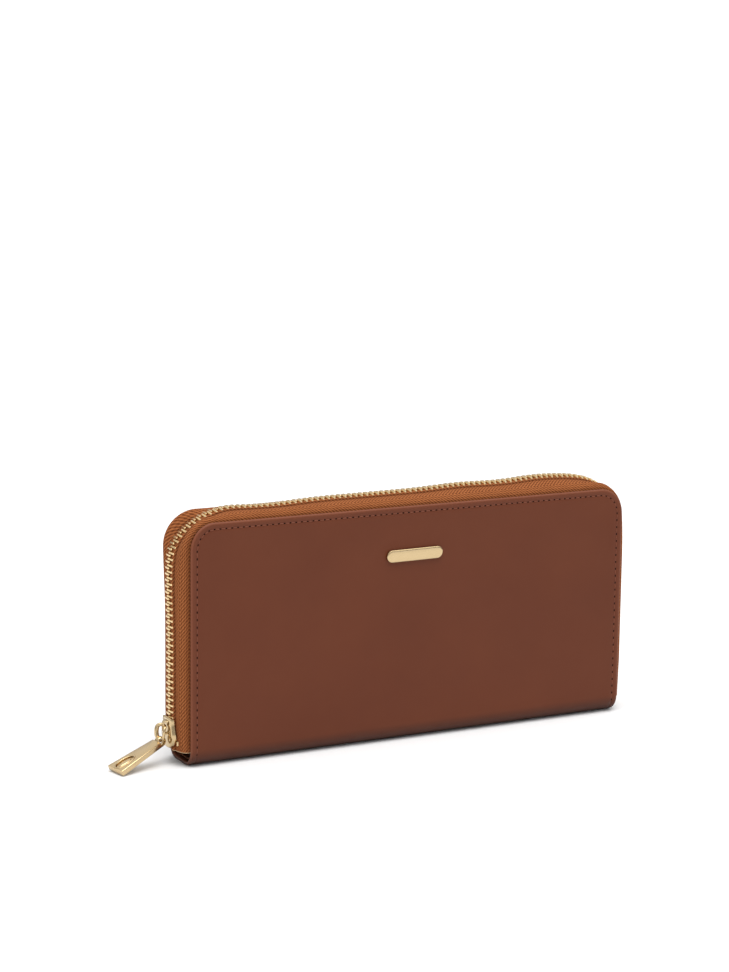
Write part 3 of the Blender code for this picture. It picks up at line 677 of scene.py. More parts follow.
def make_shell(side_name):
    side = SIDES[side_name]
    line = EdgeRun(STITCH_INSET, 0.0, left=LEFT_INSET, right=RIGHT_INSET)
    sewn = stitch_run()
    holes = hole_runs(sewn)
    runs = line.steps(SHELL_STEP, SHELL_STEP, SHELL_STEP)
    verts = []
    rim = []
    under = []
    for run in runs:
        for inset_mm, depth_mm in SHELL_PROFILE:
            inset = inset_mm * MM
            depth = depth_mm * MM
            skin = depth < LEATHER
            if skin:
                depth += pucker(run, inset, sewn, holes)
            x, v, _, _ = line.at(run, inset)
            verts.append(on_sheet(x, max(v, 0.0), depth, side))
            # Painted shade: the lower a point lies on the roll, the darker its colour is made, kept in the
            # under mark
            low = max(0.0, 1.0 - verts[-1][2] / SPINE_RADIUS)
            # Painted highlight along the edge, kept in the rim mark
            rim.append(painted_edge_highlight(inset) if skin else 1.0)
            under.append(0.9 * low if skin else 0.35)
    faces = shell_faces(len(runs), round(line.rise / SHELL_STEP))
    marks = {"rim": rim, "under": under}
    shell = add_piece(f"{side_name}_leather_shell", verts, faces, "leather", marks=marks, angle=60)
    flex(shell, side_name, *spine_roll(side), "leather", f"{side_name}_cover_leather", "spine_leather")


# Sewing


def add_stitch(batch, centre, ahead, up, length):
    """One stitch: it comes up out of one hole, lies on the surface and goes down the next."""
    across = up.cross(ahead).normalized()
    rings = []
    for t in (-1.0, -0.8, -0.45, 0.0, 0.45, 0.8, 1.0):
        point = centre + ahead * (t * length / 2) + up * (THREAD_RADIUS * 0.55 - THREAD_SINK * t**4)
        width = THREAD_RADIUS * (1.0 - 0.35 * t * t)
        rings.append([point + across * (width * c) + up * (width * 0.85 * s) for c, s in circle(6)])
    batch.loft(rings)


def add_hole(batch, centre, ahead, up):
    """The dark mouth of a stitch hole, a shallow lens on the surface."""
    across = up.cross(ahead).normalized()
    rings = []
    for level, share in ((-0.10, 0.5), (0.0, 1.0), (0.035, 0.75), (0.045, 0.3)):
        middle = centre + up * level * MM
        reach = ahead * (share * HOLE_LENGTH / 2)
        side = across * (share * HOLE_WIDTH / 2)
        rings.append([middle + reach * c + side * s for c, s in circle(10)])
    batch.loft(rings)


def sew(name, points, up, body):
    """Sews through a list of holes: threads between them, and a dark hole at each."""
    threads = Batch()
    holes = Batch()
    for a, b in zip(points, points[1:]):
        add_stitch(threads, (a + b) / 2, (b - a).normalized(), up(a), (b - a).length * STITCH_SHARE)
    for i, point in enumerate(points):
        add_hole(holes, point, heading(points, i).normalized(), up(point))
    carry(threads.make(f"{name}_thread", "thread"), body, "leather")
    carry(holes.make(f"{name}_holes", "hole"), body, "leather")


def spaced(start, end):
    """Stitch holes along a straight line."""
    start = Vector(start)
    end = Vector(end)
    count = max(1, round((end - start).length / STITCH_PITCH))
    return [start.lerp(end, i / count) for i in range(count + 1)]


def sheet_up(point, side):
    """The outward direction of the leather at a point on it."""
    if point.z >= SPINE_RADIUS:
        return Vector((0, side, 0))
    centre = Vector((point.x, side * FLAT_HALF, SPINE_RADIUS))
    return (point - centre).normalized()


def make_edge_sewing(side_name):
    """The stitches in the leather's edge, and the same ones where they come out on the inside."""
    side = SIDES[side_name]
    line = stitch_run()
    outer = []
    inner = []
    for run in hole_runs(line):
        x, v, _, _ = line.at(run, STITCH_INSET)
        outer.append(Vector(on_sheet(x, v, GROOVE_DEPTH, side)))
        if v > sheet_v(SPINE_RADIUS + 2 * MM):
            inner.append(Vector(on_sheet(x, v, INNER_STITCH_DEPTH, side)))
    body = f"{side_name}_cover"
    sew(f"{side_name}_edge", outer, lambda point: sheet_up(point, side), body)
    sew(f"{side_name}_lining_edge", inner, lambda point: Vector((0, -side, 0)), body)


# Outer zip


def corner_run(x, z):
    """How far a place on the chain is from the middle of the nearer top corner, less than 0 on the top."""
    radius = CORNER_RADIUS + CHAIN_OFFSET
    quarter = radius * math.pi / 4
    if abs(x) < CORNER_X:
        return -quarter - (CORNER_X - abs(x))
    if z < CORNER_Z:
        return quarter + (CORNER_Z - z)
    return radius * (math.pi / 4 - math.atan2(z - CORNER_Z, abs(x) - CORNER_X))


def hump(value, centre, reach, power=2.0):
    return math.exp(-((abs(value - centre) / reach) ** power))


# The chain's waves along the top: (rise, middle, reach)
TOP_WAVES = [
    (0.35, -76.0, 8.0),
    (-0.3, -58.0, 12.0),
    (0.3, -36.0, 14.0),
    (0.35, -12.0, 24.0),
    (0.9, 26.0, 16.0),
    (1.25, 62.0, 15.0),
]


def chain_stray(x, z):
    """The chain cuts both corners and wanders a little, as a sewn zip does."""
    middle, reach, depth = (-2.0, 11.5, 3.3) if x < 0 else (0.5, 13.0, 4.1)
    dip = depth * MM * hump(corner_run(x, z), middle * MM, reach * MM, 2.6)
    if z > CORNER_Z:
        wave = sum(rise * hump(x, middle * MM, reach * MM) for rise, middle, reach in TOP_WAVES)
    else:
        wave = 0.45 * hump(z, 72 * MM, 13 * MM) if x < 0 else 0.0
    return wave * MM - dip


# Across the tape: (outside the cover's edge, distance from the middle plane, how much it follows the
# chain's wandering, half its thickness)
TAPE_LINE = [
    (-6.0, 8.7, 0.0, 0.2), (-3.0, 8.7, 0.0, 0.2), (-1.2, 8.7, 0.0, 0.22), (-0.3, 8.66, 0.0, 0.22),
    (0.45, 8.5, 0.0, 0.22), (1.2, 8.15, 0.0, 0.22), (1.85, 7.6, 0.0, 0.22), (2.3, 6.95, 0.04, 0.22),
    (2.55, 6.2, 0.2, 0.22), (2.65, 5.4, 0.48, 0.22), (2.68, 4.7, 0.74, 0.22), (2.66, 4.1, 0.88, 0.22),
    (2.56, 3.75, 1.0, 0.16), (2.6, 3.45, 1.0, 0.16), (2.95, 3.2, 1.0, 0.42), (3.05, 2.7, 1.0, 0.56),
    (3.05, 2.1, 1.0, 0.56), (3.0, 1.3, 1.0, 0.4), (2.9, 0.04, 1.0, 0.18),
]


def tape_swell(side, x, z):
    """The share of its full swell that the tape has: less beside the slider and at the right corner."""
    swell = 0.78 + 0.22 * clamp((z - 7 * MM) / (14 * MM))
    place = corner_run(x, z)
    if x > 0:
        return swell * (1.0 - (0.6 if side < 0 else 0.8) * hump(place, 3 * MM, 12 * MM))
    if side > 0:
        return swell * (1.0 + 0.4 * hump(place, 7 * MM, 18 * MM))
    return swell * (1.0 - 0.4 * hump(place, -1 * MM, 12 * MM))


def tape_crease_shade(n, depth):
    """How much painted shade darkens the tape: in the fold beside the leather and in the groove beside the
    teeth.
    """
    fold = clamp((0.8 - n) / 0.5)
    groove = clamp(1.0 - abs(depth - 3.55) / 0.4)
    return max(0.3 * fold, 0.35 * groove)


def tape_spans():
    """How far across the woven cloth each point of the tape's section lies, in mm."""
    spans = [0.0]
    for a, b in zip(TAPE_LINE, TAPE_LINE[1:]):
        spans.append(spans[-1] + math.hypot(b[0] - a[0], b[1] - a[1]))
    return spans + spans[::-1]


def make_tape(side_name):
    side = SIDES[side_name]
    body = f"{side_name}_cover"
    line = EdgeRun(0.0, sheet_v(SPINE_RADIUS))
    foot = TAPE_FOOT - SPINE_RADIUS
    reach = line.length - 2 * foot
    halves = [half for *_, half in TAPE_LINE]
    spans = tape_spans()
    rings = []
    uvs = []
    crease = []
    for run in even(foot, foot + reach, round(reach / TAPE_STEP)):
        x, v, out_x, out_v = line.at(run, 0.0)
        z = v - sheet_v(0.0)
        stray = chain_stray(x, z) / MM
        swell = tape_swell(side, x, z)
        middle = []
        for n, y, follow, _ in TAPE_LINE:
            share = swell + (1.0 - swell) * follow**2
            middle.append((max(n, 0.0) * share + min(n, 0.0) + follow * stray, y))
        ring = []
        for (n, depth), across in zip(offset_line(middle, halves), spans):
            drop = lean(x, z - SPINE_RADIUS, side) * depth * MM / HALF_THICKNESS
            ring.append((x + n * MM * out_x, side * depth * MM, z + n * MM * out_v + drop))
            uvs.append((run / MM, across))
            crease.append(tape_crease_shade(n, depth))
        rings.append(ring)
    tape = loft(f"{side_name}_zip_tape_weave", rings, "tape", uvs=uvs, marks={"crease": crease}, angle=60)
    carry(tape, body, "tape", f"{side_name}_zip_tape")
    for end_name, ring in (("start", rings[0]), ("finish", rings[-1])):
        cut = [[(x, y, z - below) for x, y, z in ring] for below in (0.0, FRAY_LENGTH)]
        carry(loft(f"{side_name}_zip_tape_{end_name}", cut, "fray", angle=60), body, "tape")


# Half of a tooth seen from outside: (across from the middle plane, half its length along the chain)
TOOTH_HALF = [
    (3.2, 0.30), (3.08, 0.44), (2.7, 0.5), (1.7, 0.47), (0.9, 0.48), (0.3, 0.5), (-0.2, 0.5), (-0.6, 0.44),
    (-0.85, 0.24),
]
# (height in the chain's thickness, inset) from the inner face to the outer
TOOTH_LEVELS = [(-1.08, 0.2), (-0.9, 0.02), (0.55, 0.0), (0.88, 0.07), (1.05, 0.2)]


def tooth_rings(scale_across, scale_along, scale_thick):
    """One tooth, stacked through the chain's thickness and thinner towards its clamped end."""
    rings = []
    for height, inset in TOOTH_LEVELS:
        ring = []
        for w, a in inset_loop(mirrored(TOOTH_HALF), inset):
            slope = -0.22 * max(0.0, w - 1.7) if height > 0 else 0.0
            ring.append((w * scale_across * MM, a * scale_along * MM, (height + slope) * scale_thick * MM))
        rings.append(ring)
    return rings


def add_tooth(batch, shape, middle, side, ahead, out):
    """A tooth that reaches from its own tape, at one side, past the middle of the chain."""
    across = Vector((0.0, side, 0.0))
    batch.loft([[middle + across * w + ahead * a + out * n for w, a, n in ring] for ring in shape])


def chain_place(line, run):
    """A place on the chain's middle, which way is out, and which way it runs."""
    points = []
    for shift in (-0.6 * MM, 0.0, 0.6 * MM):
        x, v, out_x, out_v = line.at(clamp(run + shift, 0.0, line.length), -CHAIN_OFFSET)
        place = Vector((x, 0.0, v - sheet_v(0.0)))
        points.append(place + Vector((out_x, 0.0, out_v)) * chain_stray(place.x, place.z))
    ahead = (points[2] - points[0]).normalized()
    return points[1], Vector((-ahead.z, 0.0, ahead.x)), ahead


def even_places(line, first, pitch):
    """Runs along the line whose places on the wandering chain are one pitch apart."""
    runs = []
    walked = 0.0
    wanted = first
    step = 0.1 * MM
    last, _, _ = chain_place(line, 0.0)
    for index in range(1, int(line.length / step)):
        place, _, _ = chain_place(line, index * step)
        walked += (place - last).length
        last = place
        if walked >= wanted:
            runs.append(index * step)
            wanted += pitch
    return runs


def make_teeth(side_name):
    side = SIDES[side_name]
    line = EdgeRun(-CHAIN_OFFSET, sheet_v(CHAIN_START), sheet_v(CHAIN_END))
    first = (TOOTH_PITCH / 2 if side > 0 else 0.0) + 0.45 * MM
    shape = tooth_rings(0.95, 0.95, 1.0)
    batch = Batch()
    for run in even_places(line, first, TOOTH_PITCH):
        middle, out, ahead = chain_place(line, run)
        add_tooth(batch, shape, middle, side, ahead, out)
    teeth = batch.make(f"{side_name}_zip_teeth_row", "teeth")
    carry(teeth, f"{side_name}_cover", "gold", f"{side_name}_zip_teeth")


def make_stops():
    for side_name in SIDES:
        node = f"{side_name}_zip_top_stop"
        low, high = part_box(node)
        rings = soft_box(low + STOP_SEAT, high + STOP_SEAT, 0.25 * MM)
        stop = loft(f"{side_name}_tape_stop", rings, "teeth")
        carry(stop, f"{side_name}_cover", "gold", node)
    stop = loft("zip_end_stop", soft_box(*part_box("zip_bottom_stop"), 0.5 * MM), "teeth")
    carry(stop, "back_cover", "gold", "zip_bottom_stop")


# Slider of the outer zip. Its plates stack out along -X

# Half of the outer slider's outline, from its top down: (half width, height)
SLIDER_HALF = [
    (3.8, 18.9), (4.05, 18.3), (4.2, 16.6), (4.7, 14.6), (5.2, 12.6), (5.3, 11.2), (4.7, 9.8), (3.9, 8.4),
    (2.9, 7.4), (1.4, 6.8),
]


def slider_outline():
    half = [(y * MM, z * MM) for y, z in SLIDER_HALF]
    return round_loop(half + [(-y, z) for y, z in half[::-1]])


def side_y(z):
    """Half the width of the slider at a height, in mm."""
    for (y1, z1), (y0, z0) in zip(SLIDER_HALF, SLIDER_HALF[1:]):
        if z0 <= z <= z1:
            return y0 + (y1 - y0) * (z - z0) / (z1 - z0)
    return SLIDER_HALF[0][0]


def slider_wall(end, top):
    """Rings up one side wall of the slider, which reaches a little further in at its lower end."""
    rings = []
    for z in even(8.2, 18.6, 18):
        y = side_y(z) - 0.03
        lip = 3.3 - 0.7 * max(0.0, 1 - (z - 8.2) / 4.5)
        section = [
            (y - 0.75, lip + 0.1), (y - 0.6, lip), (y - 0.12, lip), (y, lip + 0.14),
            (y + 0.04, top - 0.3), (y - 0.05, top), (y - 0.75, top),
        ]
        rings.append([(-HALF_WIDTH - n * MM, end * w * MM, z * MM) for w, n in section])
    return rings


def make_slider():
    """Two domed plates, a wall at each side and the post that parts the rows of teeth."""
    low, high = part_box("zip_slider_body")
    outer_n = -HALF_WIDTH - low.x - PLATE - SLIDER_SEAT
    inner_n = -HALF_WIDTH - high.x + PLATE
    domed = [(0.2, 0.0), (0.02, 0.08), (0.0, 0.3), (0.03, 0.5), (0.12, 0.68), (0.3, 0.79)]
    body = Batch()
    for base, grow in ((outer_n, MM), (inner_n, -MM)):
        body.loft(stack(slider_outline(), domed, lambda y, z, h: (-HALF_WIDTH - base - grow * h, y, z)))
    for end in (-1, 1):
        body.loft(slider_wall(end, outer_n / MM + 0.45))
    diamond = round_loop([(0.0, 7.6), (1.4, 9.8), (0.0, 12.6), (-1.4, 9.8)], 1)
    ends = (inner_n - 0.3 * MM, outer_n + 0.3 * MM)
    body.loft([[(-HALF_WIDTH - n, y * MM, z * MM) for y, z in diamond] for n in ends])
    casting = body.make("zip_slider_casting", "gold", angle=35)
    carry(casting, "zip_slider", "gold", "zip_slider_body")


def make_bridge():
    """The arch over the slider that the ring hangs in, wider at its two feet."""
    low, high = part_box("zip_slider_bridge")
    half = 0.24 * MM
    shoulder = 0.9 * MM
    foot = high.x + 0.9 * MM
    crown = low.x + BRIDGE_SEAT + half
    bottom = low.z + half
    top = high.z - half
    path = [
        (foot, bottom),
        (crown + shoulder, bottom + 0.2 * MM),
        (crown + 0.2 * MM, bottom + 0.9 * MM),
        (crown, bottom + 2.0 * MM),
        (crown, top - shoulder),
        (crown + 0.15 * MM, top - 0.35 * MM),
        (crown + shoulder, top),
        (foot, top),
    ]
    path = round_loop(path, closed=False)
    last = len(path) - 1
    widths = [(0.75 + 0.9 * abs(2 * i / last - 1) ** 2.5) * MM for i in range(last + 1)]
    bridge = loft("zip_slider_arch", sweep_xz(path, widths, half), "gold", angle=50)
    carry(bridge, "zip_slider", "gold", "zip_slider_bridge")


# Ring link and pull tab


def pull_frame(joint_name, slope):
    """X runs out along the pull at a slope under the horizontal, Y across it, Z up off its face."""
    joint = JOINTS[joint_name]
    axis = Vector(joint["axis"])
    yaw = math.atan2(-axis.x, axis.y)
    turn = Matrix.Rotation(math.pi + yaw, 4, "Z") @ Matrix.Rotation(slope, 4, "Y")
    return Matrix.Translation(joint["pos_m"]) @ turn


# The link's middle line from the ring pivot, in mm, and its half thickness. It goes under the bridge at
# the pivot, out on the far side, down and through the tab's eye, and back up on the near side.
LINK_LINE = [
    (0.5, 0.0, -0.2, 0.5), (0.2, 1.2, 0.0, 0.55), (-0.8, 2.1, -0.05, 0.72), (-1.75, 2.45, -0.75, 0.86),
    (-2.15, 2.4, -2.3, 0.9), (-2.2, 2.0, -4.1, 0.86), (-1.95, 1.2, -5.4, 0.75), (-1.6, 0.1, -6.1, 0.62),
    (-1.25, -1.1, -5.7, 0.55), (-0.95, -1.75, -4.4, 0.5), (-0.75, -1.85, -2.8, 0.5),
    (-0.5, -1.7, -1.4, 0.5), (0.05, -1.1, -0.5, 0.5),
]


def make_ring():
    pivot = Vector(JOINTS["pull_ring_swing"]["pos_m"])
    line = round_loop(LINK_LINE)
    count = len(line)
    middle = sum((Vector(point[:3]) for point in line), Vector()) / count
    rings = []
    for i, (x, y, z, wire) in enumerate(line):
        here = Vector((x, y, z))
        ahead = Vector(line[(i + 1) % count][:3]) - Vector(line[i - 1][:3])
        side = ahead.cross(here - middle).normalized()
        out = side.cross(ahead).normalized()
        rings.append([pivot + (here + (out * c + side * s) * wire) * MM for c, s in circle(18)])
    carry(loft("pull_ring_link", rings, "gold", closed=True), "pull_ring", "gold", "pull_ring")


def oval(centre_x, reach_x, reach_y, z):
    return [(centre_x + reach_x * c, reach_y * s, z) for c, s in circle(40)]


def oval_rim(centre_x, reach_x, reach_y, z, wire):
    """Rings of a round wire laid along an oval."""
    rings = []
    for c, s in circle(56):
        ring = []
        for out, up in circle(10):
            reach = 1.0 + wire * out / reach_y
            ring.append((centre_x + c * reach * reach_x, s * reach * reach_y, z + wire * up))
        rings.append(ring)
    return rings


def make_tab():
    """A tapered bar with an eye at its narrow end, and a plain oval relief near its wide end."""
    place = pull_frame("pull_tab_swing", TAB_SLOPE)
    ends = [(0.0, 0.3), (0.006, 0.08), (0.02, 0.0), (0.5, 0.0), (0.985, 0.0), (0.995, 0.07), (1.0, 0.25)]
    rings = []
    for share, inset_mm in ends:
        half_wide = TAB_NARROW + (TAB_WIDE - TAB_NARROW) * share - inset_mm * MM
        along = TAB_START + (TAB_LENGTH - TAB_START) * share
        section = round_box(half_wide, TAB_HALF - inset_mm * MM, TAB_BEVEL)
        rings.append([(along, u, v) for u, v in section])
    tab = loft("pull_tab_bar", rings, "gold", angle=30)
    eye = mirrored([(1.4, -0.8), (1.6, -1.1), (1.85, -1.1), (2.1, -0.85)])
    rings = [[(r * MM * c, y * MM, r * MM * s) for r, y in eye] for c, s in circle(36)]
    boolean(tab, loft("eye", rings, "gold", closed=True), "UNION")
    pit = [oval(*TAB_OVAL, z) for z in (TAB_HALF - 0.35 * MM, TAB_HALF + MM)]
    boolean(tab, loft("pit", pit, "gold"), "DIFFERENCE")
    boss = Batch()
    boss.loft(oval_rim(*TAB_OVAL, TAB_HALF, 0.24 * MM), closed=True)
    floor = TAB_HALF - 0.37 * MM
    dome = [(1.0, 0.0), (0.95, 0.16), (0.8, 0.3), (0.5, 0.38), (0.12, 0.41)]
    boss.loft([oval(TAB_OVAL[0], 3.1 * MM * s, 1.25 * MM * s, floor + h * MM) for s, h in dome])
    relief = boss.make("pull_tab_oval", "gold")
    tab.data.transform(place)
    relief.data.transform(place)
    carry(tab, "pull_tab", "gold", "pull_tab")
    carry(relief, "pull_tab", "gold")


# Badge, linings, card tiers, coin pocket and gussets


def make_badge():
    """A plain plate with round ends and a softly domed face."""
    low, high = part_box("badge_bar")
    radius = (high.z - low.z) / 2
    middle_z = (high.z + low.z) / 2
    reach = (high.x - low.x) / 2 - radius
    outline = arc(reach, middle_z, radius, -90, 90, 16) + arc(-reach, middle_z, radius, 90, 270, 16)
    thick = -low.y - HALF_THICKNESS
    levels = [(0.35, 0.0), (0.0, 0.05), (0.0, 0.55), (0.1, 0.8), (0.3, 0.93), (0.7, 1.0)]
    rings = stack(outline, levels, lambda x, z, lift: (x, -HALF_THICKNESS - thick * lift, z))
    carry(loft("badge_plate", rings, "gold", angle=30), "front_cover", "gold", "badge_bar")


def panel_outline(half_width, foot, top, radius):
    """A panel with square feet and round top corners, as (x, z) points."""
    right = arc(half_width - radius, top - radius, radius, 0, 90, 8)
    left = arc(radius - half_width, top - radius, radius, 90, 180, 8)
    return [(-half_width, foot), (half_width, foot), *right, *left]


def sheet_piece(name, node, radius, finish, face, crease=True):
    """A turned-edge sheet in a node's place. face is the side, along Y, that has the creased border."""
    low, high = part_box(node)
    near, far = (high.y, low.y) if face > 0 else (low.y, high.y)
    levels = [(0.16, 0.0), (0.03, 0.15), (0.0, 0.5), (0.03, 0.85), (0.16, 1.0)]
    if crease:
        levels += [(1.1, 1.0), (1.3, 0.72), (1.5, 1.0)]
    outline = panel_outline(high.x, low.z, high.z, radius)
    rings = stack(outline, levels, lambda x, z, share: (x, far + (near - far) * share, z))
    return loft(name, rings, finish, angle=50)


def top_seam(name, node, face, body, margin, drop):
    """Stitches under the top edge of a sheet, on the side it faces. Gives that side and their height."""
    low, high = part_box(node)
    face_y = high.y if face > 0 else low.y
    top = high.z - drop
    row = spaced((low.x + margin, face_y, top), (high.x - margin, face_y, top))
    sew(name, row, lambda point: Vector((0, face, 0)), body)
    return face_y, top


def make_cover_inside(side_name):
    """The lining of a cover and its four card tiers, each with its own seams."""
    side = SIDES[side_name]
    body = f"{side_name}_cover"
    lining = sheet_piece(f"{side_name}_lining_cloth", f"{side_name}_lining", 10 * MM, "lining", -side, False)
    carry(lining, body, "lining", f"{side_name}_lining")
    foot = None
    for number in (4, 3, 2, 1):
        node = f"{side_name}_card_tier_{number}"
        low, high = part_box(node)
        foot = low.z if foot is None else foot
        tier = sheet_piece(f"{side_name}_card_pocket_{number}", node, 4 * MM, "inner", -side)
        carry(tier, body, "leather", node)
        face_y, top = top_seam(f"{side_name}_pocket_{number}_top", node, -side, body, 3 * MM, 2.4 * MM)
        seam = spaced((0, face_y, foot + 1.2 * MM), (0, face_y, top - 1.6 * MM))
        sew(f"{side_name}_pocket_{number}_middle", seam, lambda point: Vector((0, -side, 0)), body)
        foot = high.z


def make_spine_lining():
    """The lining that rounds the inside of the spine, one half for each cover."""
    low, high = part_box("spine_lining")
    around = even(0.0, FLAT_HALF + SPINE_ARC, 14)
    for side_name, side in SIDES.items():
        loop = [on_sheet(0.0, v, low.z, side) for v in around]
        loop += [on_sheet(0.0, v, low.z + LINING, side) for v in around[::-1]]
        rings = [[(x, y, z) for _, y, z in loop] for x in even(low.x, high.x, 4)]
        lining = loft(f"{side_name}_spine_cloth", rings, "lining", angle=60)
        flex(lining, side_name, *spine_roll(side), "lining", "spine_lining")


def leaf_line(edge, fold, level, middle):
    """One leaf of a gusset, from its sewn edge to the fold, where it closes in to the middle."""
    line = []
    for share in even(0.0, 1.0, LEAF_POINTS - 1):
        close = max(0.0, share - 0.9) / 0.1
        line.append((edge + (fold - edge) * share, level + (middle - level) * close * close))
    return line


def make_gussets():
    """Each gusset is two leaves of cloth that meet at a fold half way between pocket and cover."""
    half = 0.17 * MM
    for end_name, end in (("left", -1), ("right", 1)):
        for side_name, side in SIDES.items():
            node = f"{end_name}_gusset_{side_name}"
            low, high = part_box(node)
            fold, edge = sorted((abs(low.x), abs(high.x)))
            near, far = sorted((abs(low.y), abs(high.y)))
            sewn = (end * edge, 0.0, 0.0)
            past = (end * (2 * fold - edge), 0.0, 0.0)
            leaves = (("inner", near + half, sewn, past), ("outer", far - half, past, sewn))
            for leaf, level, start, finish in leaves:
                line = leaf_line(edge, fold, level, (near + far) / 2)
                section = offset_line(line, [half] * LEAF_POINTS)
                rings = [[(end * x, side * y, z) for x, y in section] for z in even(low.z, high.z, 12)]
                cloth = loft(f"{node}_{leaf}", rings, "lining", angle=60)
                flex(cloth, side_name, start, finish, "lining", node)


def make_coin_pocket():
    """Two walls and the strip that joins them round three sides."""
    for side_name, side in SIDES.items():
        node = f"coin_pocket_{side_name}_wall"
        carry(sheet_piece(f"coin_pocket_{side_name}", node, 4 * MM, "inner", side), "spine", "leather", node)
        top_seam(f"coin_{side_name}_top", node, side, "spine", 4 * MM, 2.2 * MM)
    low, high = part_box("coin_pocket_edge_gusset")
    thin = 0.25 * MM
    left = low.x + thin
    right = high.x - thin
    bottom = low.z + thin
    path = round_loop([(left, high.z), (left, bottom), (right, bottom), (right, high.z)], closed=False)
    half_width = (high.y - low.y) / 2
    strip = loft("coin_pocket_side_strip", sweep_xz(path, [half_width] * len(path), thin), "lining")
    carry(strip, "spine", "lining", "coin_pocket_edge_gusset")


def make_coin_tape(side_name, side):
    node = f"coin_zip_tape_{side_name}"
    low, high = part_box(node)
    inner, outer = sorted((abs(low.y), abs(high.y)))
    inner -= 0.35 * MM
    middle = (low.z + high.z) / 2
    line = []
    for share in even(0.0, 1.0, 6):
        line.append((outer + (inner - outer) * share, middle + 0.18 * MM * math.sin(math.pi * share)))
    section = offset_line(line, [0.16 * MM] * 5 + [0.3 * MM, 0.25 * MM])
    rings = []
    uvs = []
    for x in even(low.x, high.x, 60):
        rings.append([(x, side * y, z) for y, z in section])
        uvs += [(x / MM, (outer - y) / MM) for y, _ in section]
    carry(loft(f"coin_tape_{side_name}", rings, "tape", uvs=uvs, angle=60), "spine", "tape", node)


def make_coin_teeth(side_name, side):
    node = f"coin_zip_teeth_{side_name}"
    low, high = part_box(node)
    shape = tooth_rings(0.5, 0.55, 0.62)
    first = min(low.x, COIN_CHAIN_START) + 0.4 * MM + (COIN_PITCH / 2 if side > 0 else 0.0)
    ahead = Vector((1.0, 0.0, 0.0))
    up = Vector((0.0, 0.0, 1.0))
    batch = Batch()
    for index in range(round((high.x - low.x) / COIN_PITCH)):
        middle = Vector((first + index * COIN_PITCH, 0.0, (low.z + high.z) / 2))
        add_tooth(batch, shape, middle, side, ahead, up)
    carry(batch.make(f"coin_teeth_{side_name}", "teeth"), "spine", "gold", node)


def make_coin_zip():
    for side_name, side in SIDES.items():
        make_coin_tape(side_name, side)
        make_coin_teeth(side_name, side)
    for end_name in ("left", "right"):
        node = f"coin_zip_stop_{end_name}"
        stop = loft(f"coin_stop_{end_name}", soft_box(*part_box(node), 0.25 * MM), "teeth")
        carry(stop, "spine", "gold", node)


def make_coin_slider():
    """Two plates, the post between them and the arch on top, joined into one."""
    low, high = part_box("coin_slider_body")
    middle_x = low.x + 3.6 * MM
    plates_top = low.z + 3.4 * MM
    half = [(-3.6, 1.0), (-2.6, 2.1), (-0.5, 2.2), (2.2, 1.7), (4.4, 1.45)]
    outline = round_loop(mirrored([(middle_x + x * MM, y * MM) for x, y in half]))
    levels = [(0.2, 0.0), (0.0, 0.15), (0.0, 0.5), (0.2, 0.7)]
    plates = []
    for name, base, grow in (
        ("coin_slider_casting", plates_top - 0.7 * MM, MM),
        ("coin_plate", low.z + 0.7 * MM, -MM),
    ):
        rings = stack(outline, levels, lambda x, y, height: (x, y, base + grow * height))
        plates.append(loft(name, rings, "gold", angle=35))
    body, lower = plates
    boolean(body, lower, "UNION")
    post_low = (low.x + 0.6 * MM, -0.7 * MM, low.z + 0.3 * MM)
    post_high = (middle_x - 0.6 * MM, 0.7 * MM, plates_top - 0.3 * MM)
    boolean(body, loft("coin_post", soft_box(post_low, post_high, 0.3 * MM), "gold"), "UNION")
    crown = high.z - 0.4 * MM
    foot = plates_top - 0.3 * MM
    left = middle_x - 2.6 * MM
    right = middle_x + 2.6 * MM
    path = round_loop([(left, foot), (left, crown), (right, crown), (right, foot)], closed=False)
    arch = loft("coin_arch", sweep_xz(path, [0.85 * MM] * len(path), 0.4 * MM), "gold")
    boolean(body, arch, "UNION")
    carry(body, "coin_slider", "gold", "coin_slider_body")


def make_coin_pull():
    """A flat pull with a window, lying along the pocket from its joint."""
    pivot = Vector(JOINTS["coin_pull_swing"]["pos_m"])
    outline = round_loop(mirrored([(-0.6, -1.9), (4.4, -1.9), (11.0, -2.5)]))
    outline = [(pivot.x + u * MM, v * MM) for u, v in outline]
    levels = [(0.25, -0.5), (0.0, -0.3), (0.0, 0.3), (0.25, 0.5)]
    rings = stack(outline, levels, lambda x, y, level: (x, y, pivot.z + level * MM))
    pull = loft("coin_pull_tab", rings, "gold", angle=35)
    window = round_loop(mirrored([(0.6, -1.2), (4.2, -1.2)]), 1)
    rings = [[(pivot.x + u * MM, v * MM, pivot.z + z) for u, v in window] for z in (-MM, MM)]
    boolean(pull, loft("window", rings, "gold"), "DIFFERENCE")
    carry(pull, "coin_pull", "gold", "coin_pull")


def finish_boards():
    for node in ("front_board", "back_board", "spine_board"):
        frame["nodes"][node].data.materials.clear()
        frame["nodes"][node].data.materials.append(FINISH["board"])


# Stage


def make_floor():
    half = 30.0
    corners = [(-half, -half, 0), (half, -half, 0), (half, half, 0), (-half, half, 0)]
    mesh = bpy.data.meshes.new("floor")
    mesh.from_pydata(corners, [], [(0, 1, 2, 3)])
    n = Nodes(bpy.data.materials.new("pale_floor"))
    mesh.materials.append(n.set(Base_Color=(0.83, 0.83, 0.83), Roughness=0.9, Specular_IOR_Level=0.1))
    add_object("floor", mesh)


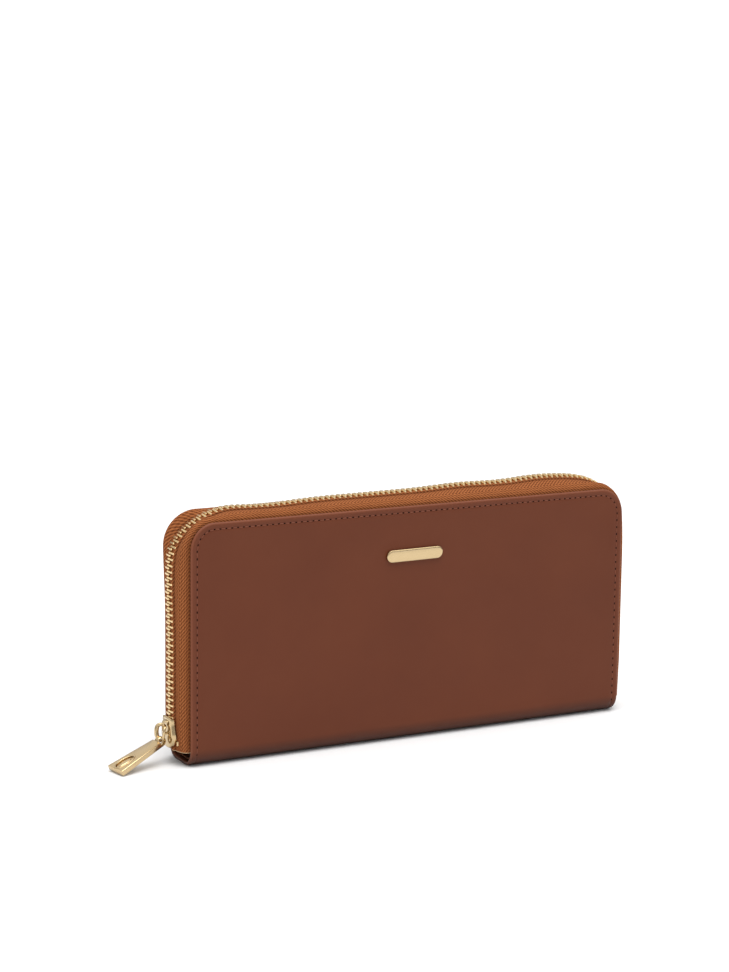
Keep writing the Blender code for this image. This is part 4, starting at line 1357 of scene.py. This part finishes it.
def add_sun(name, azimuth, elevation, strength, angle):
    """A soft distant light. Azimuth 0 shines from the front, and 90 from the right."""
    light = bpy.data.lights.new(name, "SUN")
    light.energy = strength
    light.angle = math.radians(angle)
    a = math.radians(azimuth)
    e = math.radians(elevation)
    source = Vector((math.sin(a) * math.cos(e), -math.cos(a) * math.cos(e), math.sin(e)))
    add_object(name, light).rotation_euler = (-source).to_track_quat("-Z", "Y").to_euler()


def make_light():
    """A sky that is bright above and pale at the horizon, and dim between them, with two soft suns."""
    world = bpy.data.worlds.new("studio")
    bpy.context.scene.world = world
    n = Nodes(world, "Background")
    height = n.part(n.place("Generated"), 2)
    pale = (0.95, 0.95, 0.95)
    dim = (0.28, 0.28, 0.29)
    n.set(Color=n.ramp(height, (0.04, pale), (0.1, dim), (0.5, WHITE)), Strength=1.0)
    add_sun("key_light", -30.0, 71.0, 1.6, 42.0)
    add_sun("fill_light", 45.0, 66.0, 0.65, 48.0)


def make_camera():
    """Looks from the front left, a little above the wallet."""
    yaw = math.radians(27.29)
    pitch = math.radians(11.61)
    roll = math.radians(0.688)
    ahead = Vector((math.sin(yaw) * math.cos(pitch), math.cos(yaw) * math.cos(pitch), -math.sin(pitch)))
    level = ahead.cross(Vector((0, 0, 1))).normalized()
    lift = level.cross(ahead)
    right = level * math.cos(roll) + lift * math.sin(roll)
    up = lift * math.cos(roll) - level * math.sin(roll)
    camera = bpy.data.cameras.new("camera")
    camera.lens = 108.1
    camera.sensor_width = 36.0
    camera.clip_start = 0.01
    camera.clip_end = 200.0
    made = add_object("camera", camera)
    turn = Matrix((right, up, -ahead)).transposed().to_4x4()
    made.matrix_world = Matrix.Translation((-0.5315, -0.9975, 0.3333)) @ turn
    bpy.context.scene.camera = made
    bpy.context.scene.view_settings.view_transform = "Standard"


def main():
    make_camera()
    make_light()
    make_floor()
    finish_boards()
    for side_name in SIDES:
        make_shell(side_name)
        make_edge_sewing(side_name)
        make_tape(side_name)
        make_teeth(side_name)
        make_cover_inside(side_name)
    make_stops()
    make_slider()
    make_bridge()
    make_ring()
    make_tab()
    make_badge()
    make_spine_lining()
    make_gussets()
    make_coin_pocket()
    make_coin_zip()
    make_coin_slider()
    make_coin_pull()


main()
